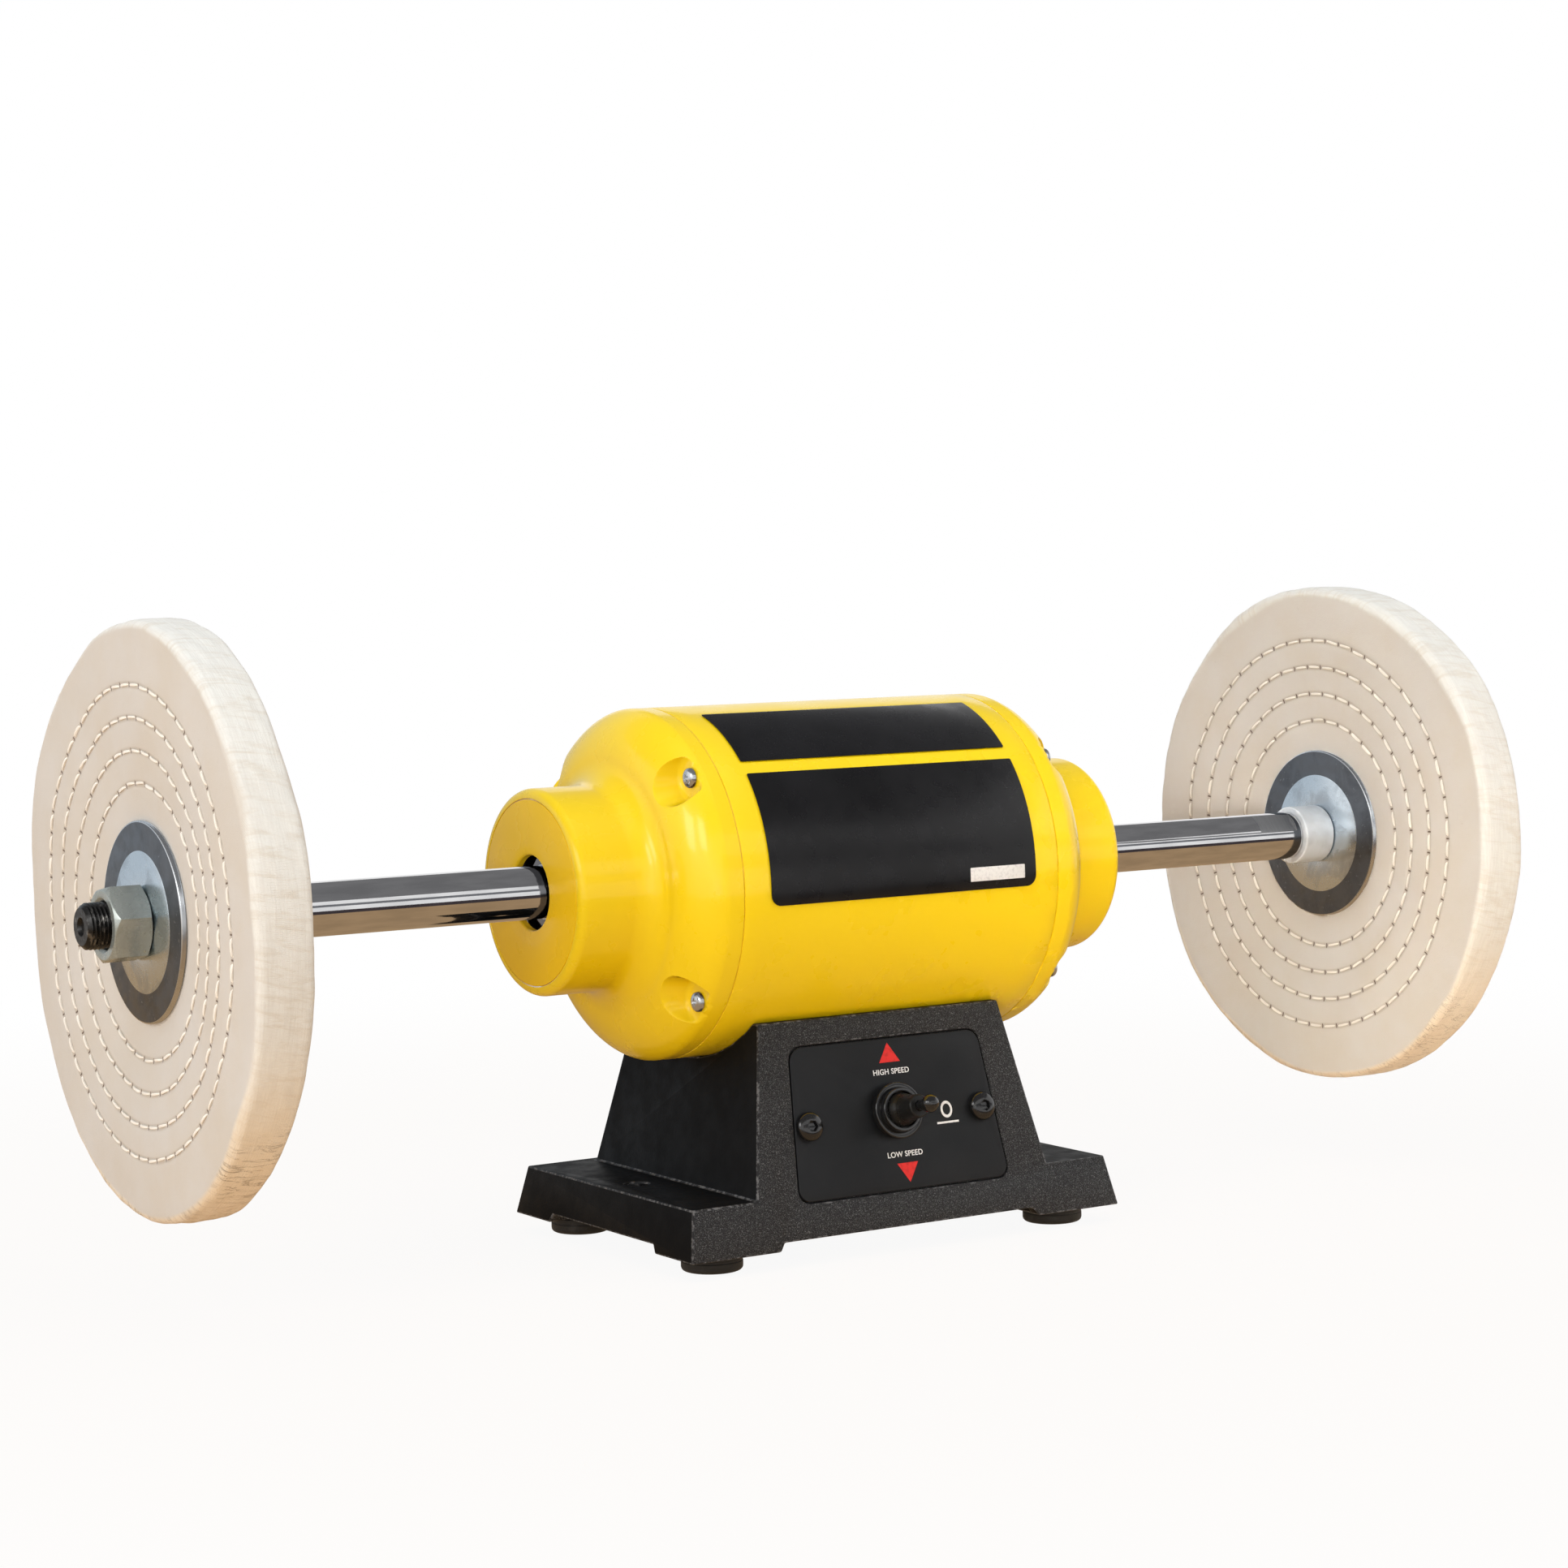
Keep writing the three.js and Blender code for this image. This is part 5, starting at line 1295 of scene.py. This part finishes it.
class MakeShaft(bpy.types.Operator):
    """Polished shaft with wrench flats and threaded arbors"""

    bl_idname = "buffer.shaft"
    bl_label = "Shaft"

    def execute(self, context):
        # The core, the bearing's seat and the polished length
        half = [
            (12, 0), (12, 97), (10, 97), (10, 113), (9.8, 113.3), (SHAFT_R, 113.3),
            (SHAFT_R, SHOULDER - 0.5), (SHAFT_R - 0.4, SHOULDER), (ARBOR_R, SHOULDER),
        ]
        full = [(r, -h) for r, h in half[:0:-1]] + half
        bar = turned("steel_bar", [(0, -SHOULDER), *full, (0, SHOULDER)], 96)
        for turn in (0.0, math.pi):
            for roll in (0.0, math.pi):
                place = turn_z(turn) @ Matrix.Rotation(math.radians(FLAT_ROLL) + roll, 4, "X")
                tool = block("flat", (FLAT_START, -12, SHAFT_R - 1), (FLAT_END, 12, 14), place)
                boolean(bar, placed(tool, Matrix.Rotation(-math.pi / 2, 4, "Y")))
        smooth(bar, 30)
        placed(bar, AXLE)
        dressed(bar, "polished_steel", "spindle", "polished_steel", "spindle_shaft", extra=("milled_flat",))
        for face in bar.data.polygons:
            if FLAT_START < abs(face.center.x) / MM < FLAT_END and off_axis(face) < SHAFT_R - 0.5:
                face.material_index = 1
        bar.data.update()

        steps = int((ARBOR_END - THREAD_START) / 0.2)
        heights = np.linspace(THREAD_START, ARBOR_END, steps)
        outline = [
            (0, SHOULDER - 0.5), (ARBOR_R, SHOULDER - 0.5), (ARBOR_R, 250), (ARBOR_R, THREAD_START - 0.5),
            *[(min(ARBOR_R, ARBOR_R - 1.6 + (ARBOR_END - h)), h) for h in heights],
            (3.2, ARBOR_END), (2.4, ARBOR_END - 1.2), (0, ARBOR_END - 1.5),
        ]
        arbor = turned("arbor", outline, 64)
        threaded(arbor, THREAD_START, ARBOR_END - 0.2, ARBOR_R - 0.8)
        smooth(arbor, 50)
        at_both_ends(arbor, "threaded_arbor", "thread_steel", "polished_steel")
        return {"FINISHED"}


class MakeSpacers(bpy.types.Operator):
    """Pale collars between the shaft's shoulders and the flanges"""

    bl_idname = "buffer.spacers"
    bl_label = "Collars"

    def execute(self, context):
        low, high, outer = 234.3, 248.75, 11.6
        outline = [
            (BORE_R, low + 0.5), (BORE_R + 0.5, low), (outer - 0.7, low),
            *arc(outer - 0.7, low + 0.7, 0.7, -70, 0, 4), *arc(outer - 0.5, high - 0.5, 0.5, 0, 80, 4),
            (BORE_R + 0.5, high), (BORE_R, high - 0.5),
        ]
        collar = turned("collar", outline, 96, closed=True)
        at_both_ends(collar, "pale_collar", "pale_collar", "pale_collar", "spacer")
        return {"FINISHED"}


class MakeFlanges(bpy.types.Operator):
    """Zinc flanges on both sides of each wheel"""

    bl_idname = "buffer.flanges"
    bl_label = "Flanges"

    def execute(self, context):
        rim = 0.55
        looks = ("zinc_ring", "zinc_rim")
        faces = (("inner", 251.55, 249.65, 249.05), ("outer", 263.85, 265.75, 266.35))
        for place, cloth, step, face in faces:
            out = 1 if face > cloth else -1
            outline = [
                (BORE_R, cloth), (FLANGE_R - rim, cloth),
                *[(r, cloth + out * h) for r, h in arc(FLANGE_R - rim, rim, rim, -60, 0, 3)],
                *[(r, step - out * (rim - h)) for r, h in arc(FLANGE_R - rim, 0, rim, 0, 90, 4)],
                (FLANGE_CENTRE_R + 0.2, step), (FLANGE_CENTRE_R, step + out * 0.05),
                (FLANGE_CENTRE_R - 0.2, step + out * 0.12),
                (12.6, face), (BORE_R + 0.3, face), (BORE_R, face - out * 0.3),
            ]
            disc = turned("disc", outline, 128, closed=True, angle=25)
            name, node = f"zinc_flange_{place}", f"flange_{place}"
            for piece in at_both_ends(disc, name, "zinc_plate", "zinc", node, extra=looks):
                for part in piece.data.polygons:
                    if off_axis(part) > FLANGE_R - 0.7:
                        part.material_index = 2
                    elif off_axis(part) > FLANGE_CENTRE_R + 0.15:
                        part.material_index = 1
                piece.data.update()
        return {"FINISHED"}


def wheel_half_width(radius):
    share = np.clip((radius - FLANGE_R) / (0.75 * (WHEEL_R - FLANGE_R)), 0, 1)
    return (HUB_WIDTH + (RIM_WIDTH - HUB_WIDTH) * np.sin(share * math.pi / 2)) / 2


def sewn_dip(radius):
    """How far the sewn rings draw the cloth in."""
    return 0.4 * sum(np.exp(-(((radius - ring) / 1.25) ** 2)) for ring in STITCH_RINGS)


def around(points):
    """How far points lie from a wheel's axis, their turns about it, and their places on its rim."""
    turn = np.arctan2(points[:, 1], points[:, 0])
    ring = np.stack([np.cos(turn), np.sin(turn), np.zeros(len(turn))], 1) * WHEEL_R
    return np.hypot(points[:, 0], points[:, 1]), turn, ring


def wheel_lean(points, seed):
    """How far both faces of a wheel lean to the same side, in mm."""
    radius, _, ring = around(points)
    amount = sizes().waviness / MM
    return ripple(ring, 190, seed + 20) * amount * 0.9 * np.clip((radius - 60) / 40, 0, 1) ** 2


def cloth_face(points, side_seed):
    """How far the cloth's face strays outwards at each point of a wheel, in mm."""
    radius = np.hypot(points[:, 0], points[:, 1])
    loose = np.clip((radius - FLANGE_R) / 30, 0, 1) ** 1.2
    flat = points * [1, 1, 0]
    amount = sizes().waviness / MM
    broad = ripple(flat, 85, side_seed) * amount
    fine = ripple(flat, 24, side_seed + 1) * amount * 0.28
    return (broad * loose + fine * np.clip(loose * 3, 0, 1)) - sewn_dip(radius)


def cloth_shape(seed):
    """Turns a true disc into sewn cloth. Heights are measured from the wheel's middle."""

    def change(points):
        radius, turn, ring = around(points)
        side = np.sign(points[:, 2])
        amount = sizes().waviness / MM
        share = np.clip(np.abs(points[:, 2]) / np.maximum(wheel_half_width(radius), 1e-6), 0, 1) ** 3
        front = cloth_face(points, seed) * (side > 0) + cloth_face(points, seed + BACK_SEED) * (side < 0)
        height = points[:, 2] + side * front * share + wheel_lean(points, seed)
        rim = np.clip((radius - 84) / 16, 0, 1)
        wander = (ripple(ring, 95, seed + 30) * 0.55 + ripple(ring, 38, seed + 31) * 0.28) * amount / 0.6
        creases = ripple(ring + np.outer(points[:, 2], [0.4, 0.3, 1.0]) * 1.4, 9, seed + 32) * 0.13
        radius_out = np.minimum(radius + rim * (wander - 0.55 + creases), WHEEL_R + 0.6)
        return np.stack([radius_out * np.cos(turn), radius_out * np.sin(turn), height], 1)

    return change


def on_wheel(piece, turn, look):
    """Sets a piece of a wheel at its end of the shaft and gives it its look."""
    placed(piece, turn_z(turn) @ AXLE @ shift(0, 0, WHEEL_X))
    piece.visible_glossy = False
    return dressed(piece, look, "spindle", "sewn_cotton")


class MakeWheels(bpy.types.Operator):
    """Sewn cotton wheels"""

    bl_idname = "buffer.wheels"
    bl_label = "Cotton wheels"

    def execute(self, context):
        radii = {BORE_R, 14.0, 24.0, 32.0, FLANGE_R, 35.5}
        radii |= set(np.arange(37.0, 97.5, 1.7).round(2))
        near = (-3, -2.2, -1.6, -1.1, -0.6, 0, 0.6, 1.1, 1.6, 2.2, 3)  # points across a row of stitches
        for ring in STITCH_RINGS:
            radii = {r for r in radii if abs(r - ring) > 3.1} | {ring + d for d in near}
        face = [(r, float(wheel_half_width(r))) for r in sorted(radii)]
        soft = 3.4
        level = RIM_WIDTH / 2 - soft
        edge = arc(WHEEL_R - soft, level, soft, 88, 0, 8)
        rim = [(WHEEL_R + 0.25 * math.cos(h / level * math.pi / 2), h) for h in np.linspace(6.0, 0, 10)]
        upper = face + edge + rim
        outline = upper + [(r, -h) for r, h in upper[::-1][1:]]
        for side, turn in SIDES:
            wheel = turned(f"cotton_wheel_{side}", outline, 256, closed=True, angle=60)
            moved_points(wheel, cloth_shape(CLOTH_SEEDS[side]))
            smooth(wheel, 70)
            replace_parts(on_wheel(wheel, turn, "sewn_cotton"), f"buffing_wheel_{side}")
        return {"FINISHED"}


class MakeStitches(bpy.types.Operator):
    """Rings of stitches on both faces of each wheel"""

    bl_idname = "buffer.stitches"
    bl_label = "Stitches"

    def execute(self, context):
        for side, turn in SIDES:
            rings = [
                self.ring(radius, count, face, CLOTH_SEEDS[side], number)
                for number, (radius, count) in enumerate(zip(STITCH_RINGS, stitch_counts()))
                for face in (1, -1)
            ]
            thread = joined(f"stitches_{side}", *rings)
            smooth(thread, 60)
            on_wheel(thread, turn, "stitch_thread")
        return {"FINISHED"}

    def ring(self, radius, count, face, seed, number):
        """One ring: a stitch is modelled once and spun round, then each is set down on the cloth."""
        thick = sizes().stitch_radius / MM
        half = math.pi * radius / count * 0.86
        step = 2 * math.pi / count
        face_seed = seed if face > 0 else seed + BACK_SEED
        bare()
        bpy.ops.mesh.primitive_cylinder_add(
            vertices=6, radius=thick * MM, depth=2 * half * MM, end_fill_type="NOTHING"
        )
        stitch = named(bpy.context.object, "stitch")
        for cut in (-0.72, -0.35, 0.0, 0.35, 0.72):
            with editing(stitch):
                bpy.ops.mesh.bisect(plane_co=(0, 0, cut * half * MM), plane_no=(0, 0, 1))
        placed(stitch, shift(radius, 0) @ Matrix.Rotation(math.pi / 2, 4, "X"))
        with editing(stitch):
            bpy.ops.mesh.normals_make_consistent(inside=False)
        with editing(stitch):
            bpy.ops.mesh.spin(
                steps=count - 1, dupli=True, angle=step * (count - 1), center=(0, 0, 0), axis=(0, 0, 1)
            )
        random = np.random.RandomState(face_seed * 10 + number)
        tilt = random.normal(0, 0.035, count)
        slide = random.normal(0, 0.12, count)

        def change(points):
            each = np.round(np.arctan2(points[:, 1], points[:, 0]) / step).astype(int) % count
            cos, sin, none = np.cos(each * step), np.sin(each * step), np.zeros(len(each))
            out, along = np.stack([cos, sin, none], 1), np.stack([-sin, cos, none], 1)
            far = (points * along).sum(1)
            off = (points * out).sum(1) - radius
            share = np.clip(np.abs(far) / half, 0, 1)
            taper = np.sqrt(np.clip(1 - share ** 4, 0.04, 1))
            off = off * taper + tilt[each] * far + slide[each]
            bow = radius - np.sqrt(np.clip(radius ** 2 - far ** 2, 0, None))
            stray = out * (radius + off - bow * 0.8)[:, None] + along * far[:, None]
            ground = wheel_half_width(radius) + cloth_face(stray, face_seed)
            height = ground + thick * (0.75 - 1.76 * share ** 5) + points[:, 2] * taper
            stray[:, 2] = face * height + wheel_lean(stray, seed)
            return stray

        moved_points(stitch, change)
        if face < 0:
            with editing(stitch):
                bpy.ops.mesh.flip_normals()
        return stitch


class MakeArborNuts(bpy.types.Operator):
    """Zinc hexagon nuts that hold the wheels"""

    bl_idname = "buffer.arbor_nuts"
    bl_label = "Arbor nuts"

    def execute(self, context):
        flat, corner = NUT_FLATS / 2, NUT_FLATS / math.sqrt(3)
        crown = [
            (0, NUT_START), (flat - 0.1, NUT_START), (corner + 0.1, NUT_START + 1.0),
            (corner + 0.1, NUT_END - 1.7), (flat - 0.3, NUT_END), (0, NUT_END),
        ]
        bore = [
            (0, NUT_START - 1), (8.9, NUT_START - 1), (BORE_R, NUT_START + 0.3), (BORE_R, NUT_END - 0.9),
            (9.3, NUT_END + 0.05), (9.3, NUT_END + 1), (0, NUT_END + 1),
        ]
        nut = prism("nut", 6, corner, NUT_START - 1, NUT_END + 1)
        boolean(nut, turned("crown", crown, 128), "INTERSECT")
        boolean(nut, turned("bore", bore, 96))
        soften(nut, 0.22, 3, 22)
        smooth(nut, 25)
        at_both_ends(nut, "hex_nut", "nut_zinc", "zinc", "arbor_nut", rolls=(12, 31))
        return {"FINISHED"}


class MakeInnerParts(bpy.types.Operator):
    """Finishes of the parts inside, which keep their CAD shapes"""

    bl_idname = "buffer.inner_parts"
    bl_label = "Inner parts"

    looks = {
        "black_sheet": "satin_sheet",
        "black_steel": "black_gloss",
        "black_plastic": "boot_rubber",
        "rubber": "black_rubber",
        "polished_steel": "polished_steel",
        "bearing_steel": "bearing_steel",
        "zinc": "zinc_plate",
        "laminations": "laminations",
        "copper": "copper_winding",
        "capacitor_can": "capacitor_can",
        "insulation": "lead_sleeve",
    }

    def execute(self, context):
        slots = {part["node"]: part["material_slot"] for part in frame["record"]["subparts"]}
        for name, node in frame["nodes"].items():
            if node.hide_render:
                continue
            look = finish(self.looks[slots[name]])
            for place in node.material_slots:
                place.material = look
        return {"FINISHED"}


# -------------------------------------------------------------------- the stage


def lamp(name, place, target, size, watts):
    """A soft lamp. The windows alone show in reflections."""
    turn = (Vector(target) - Vector(place)).to_track_quat("-Z", "Y").to_euler()
    bpy.ops.object.light_add(type="AREA", location=place, rotation=turn)
    light = bpy.context.object
    light.name = name
    light.data.shape = "RECTANGLE"
    light.data.size, light.data.size_y = size
    light.data.energy = watts
    light.visible_glossy = name.startswith("window")
    return light


class MakeStage(bpy.types.Operator):
    """Pale floor, soft lamps and the camera"""

    bl_idname = "buffer.stage"
    bl_label = "Stage"

    def execute(self, context):
        scene = context.scene
        scene.view_settings.view_transform = "Standard"
        bare()
        self.camera(scene)
        self.world(scene)
        stage = scene.buffer_stage
        floor = self.card("floor", (0, 0, -0.0002), (9, 9))
        floor.data.materials.append(self.floor_look())
        cards = (
            ("dark_ceiling", (0, 0, 2.0), (5.6, 5.6), 0, 0, (0.2, 0.2, 0.205)),
            ("table_tan", (0, 0.35, 0.0002), (3.4, 1.5), 0, 0, (0.42, 0.28, 0.155)),
            ("table_gap", (0.6, -0.9, 0.0002), (3.6, 1.0), 0, 0, (0.06, 0.048, 0.052)),
            ("far_shelf", (1.6, -2.0, 0.68), (4.2, 0.34), 90, 0, (0.2, 0.205, 0.22)),
            ("grey_wall", (-0.95, 1.5, 0.6), (2.6, 1.2), 90, 30, (0.5, 0.55, 0.6)),
        )
        for name, place, size, tip, turn, colour in cards:
            card = self.card(name, place, size, math.radians(tip), math.radians(turn))
            card.data.materials.append(self.glow(name, colour))
            for ray in ("camera", "diffuse", "shadow", "transmission", "volume_scatter"):
                setattr(card, f"visible_{ray}", False)
        lamps = (
            ("overhead", (-0.1, -0.35, 1.5), (0, 0, 0.1), (1.5, 0.9), stage.overhead),
            ("left_fill", (-1.6, -0.3, 0.42), (0.1, 0, 0.12), (0.8, 0.8), stage.fill),
            ("front_fill", (-1.5, -1.6, 0.15), (0.05, 0, 0.1), (1.2, 0.8), stage.front),
            ("window_near", (-1.36, -0.84, 0.886), (-0.09, -0.037, 0.148), (0.36, 0.5), stage.window),
            ("window_far", (-1.565, -0.28, 0.745), (-0.083, -0.052, 0.157), (0.36, 0.5), stage.window),
            ("low_fill", (-0.75, -1.3, 0.13), (0.257, -0.02, 0.04), (0.25, 0.25), stage.low),
            ("side", (1.4, -0.9, 0.8), (0.1, 0, 0.12), (0.6, 0.9), stage.side),
        )
        lights = {values[0]: lamp(*values).data for values in lamps}
        lights["low_fill"].spread = math.radians(16)
        lights["low_fill"].color = (1, 0.95, 0.83)
        return {"FINISHED"}

    def card(self, name, place, size, tip=0.0, turn=0.0):
        """A flat piece of the stage."""
        bpy.ops.mesh.primitive_plane_add(size=1, location=place, rotation=(tip, 0, -turn))
        card = named(bpy.context.object, name)
        card.scale = (*size, 1)
        return card

    def glow(self, name, colour):
        """The look of a card that is seen in reflections alone."""
        nodes = Nodes(bpy.data.materials.new(name))
        light = nodes.add("ShaderNodeEmission", {}, {"Color": (*colour, 1), "Strength": 1.0})
        nodes.give(nodes.tree.nodes["Material Output"], "Surface", light)
        return bpy.data.materials[name]

    def camera(self, scene):
        yaw, pitch, roll = 0.567, -0.061, -0.021
        ahead = Vector((math.sin(yaw) * math.cos(pitch), math.cos(yaw) * math.cos(pitch), math.sin(pitch)))
        right = Vector((math.cos(yaw), -math.sin(yaw), 0))
        up = right.cross(ahead)
        side = math.cos(roll) * right + math.sin(roll) * up
        top = -math.sin(roll) * right + math.cos(roll) * up
        bpy.ops.object.camera_add()
        camera = bpy.context.object
        turn = Matrix((side, top, -ahead)).transposed().to_4x4()
        camera.matrix_world = Matrix.Translation((-0.71294, -1.10329, 0.24679)) @ turn
        camera.data.sensor_width = 36
        camera.data.lens = 4338.557 / 1932 * 36
        camera.data.clip_start = 0.01
        camera.data.clip_end = 50
        scene.camera = camera

    def world(self, scene):
        scene.world = bpy.data.worlds.new("studio")
        nodes = Nodes(scene.world)
        background = nodes.tree.nodes["Background"]
        plain = scene.buffer_stage.world
        nodes.give(background, "Color", (1, 1, 1, 1))
        seen = nodes.rays("Camera", "Glossy", "Transmission")
        nodes.give(background, "Strength", seen * (1 - plain) + plain)

    def floor_look(self):
        """Pale to the light that bounces off it, and white behind the buffer, more so far from it."""
        f = Finish("pale_floor", (0.74, 0.51, 0.3), 0.9)
        white = f.add("ShaderNodeEmission", {}, {"Color": (1, 1, 1, 1), "Strength": 1.0})
        x, y = f.parts()[:2]
        far = f.between((x * x + y * y).root(), 0.03, 0.1, 0.93, 1.0)
        share = f.rays("Camera", "Glossy", "Transmission") * far
        mix = f.add("ShaderNodeMixShader", {}, {0: share, 1: Signal(f, f.surface.outputs[0]), 2: white})
        f.give(f.tree.nodes["Material Output"], "Surface", mix)
        return f.material


OPERATORS = (
    MakeStage,
    MakeCasting,
    MakeFeet,
    MakeSwitchPlate,
    MakePlateScrews,
    MakeToggleNut,
    MakeToggleLever,
    MakeGrommet,
    MakeBarrel,
    MakeLabels,
    MakeEndBells,
    MakeBellCovers,
    MakeBellScrews,
    MakeShaft,
    MakeSpacers,
    MakeFlanges,
    MakeWheels,
    MakeStitches,
    MakeArborNuts,
    MakeInnerParts,
)


class BufferPanel(bpy.types.Panel):
    """Lists the buffer's pieces, sizes and colours"""

    bl_idname = "VIEW3D_PT_buffer"
    bl_label = "Bench buffer"
    bl_space_type = "VIEW_3D"
    bl_region_type = "UI"
    bl_category = "Buffer"

    def draw(self, context):
        scene = context.scene
        for group in (scene.buffer_sizes, scene.buffer_colours, scene.buffer_stage):
            column = self.layout.column(align=True)
            for key in group.bl_rna.properties.keys():
                if key not in ("rna_type", "name"):
                    column.prop(group, key)
        column = self.layout.column(align=True)
        for operator in OPERATORS:
            column.operator(operator.bl_idname)


GROUPS = (BufferColours, BufferSizes, BufferStage)


def register():
    for kind in (*GROUPS, *OPERATORS, BufferPanel):
        bpy.utils.register_class(kind)
    bpy.types.Scene.buffer_colours = bpy.props.PointerProperty(type=BufferColours)
    bpy.types.Scene.buffer_sizes = bpy.props.PointerProperty(type=BufferSizes)
    bpy.types.Scene.buffer_stage = bpy.props.PointerProperty(type=BufferStage)


def unregister():
    del bpy.types.Scene.buffer_stage
    del bpy.types.Scene.buffer_sizes
    del bpy.types.Scene.buffer_colours
    for kind in (BufferPanel, *reversed(OPERATORS), *reversed(GROUPS)):
        bpy.utils.unregister_class(kind)


def main():
    register()
    for operator in OPERATORS:
        group, name = operator.bl_idname.split(".")
        getattr(getattr(bpy.ops, group), name)()
    bare()


if __name__ == "__main__":
    main()
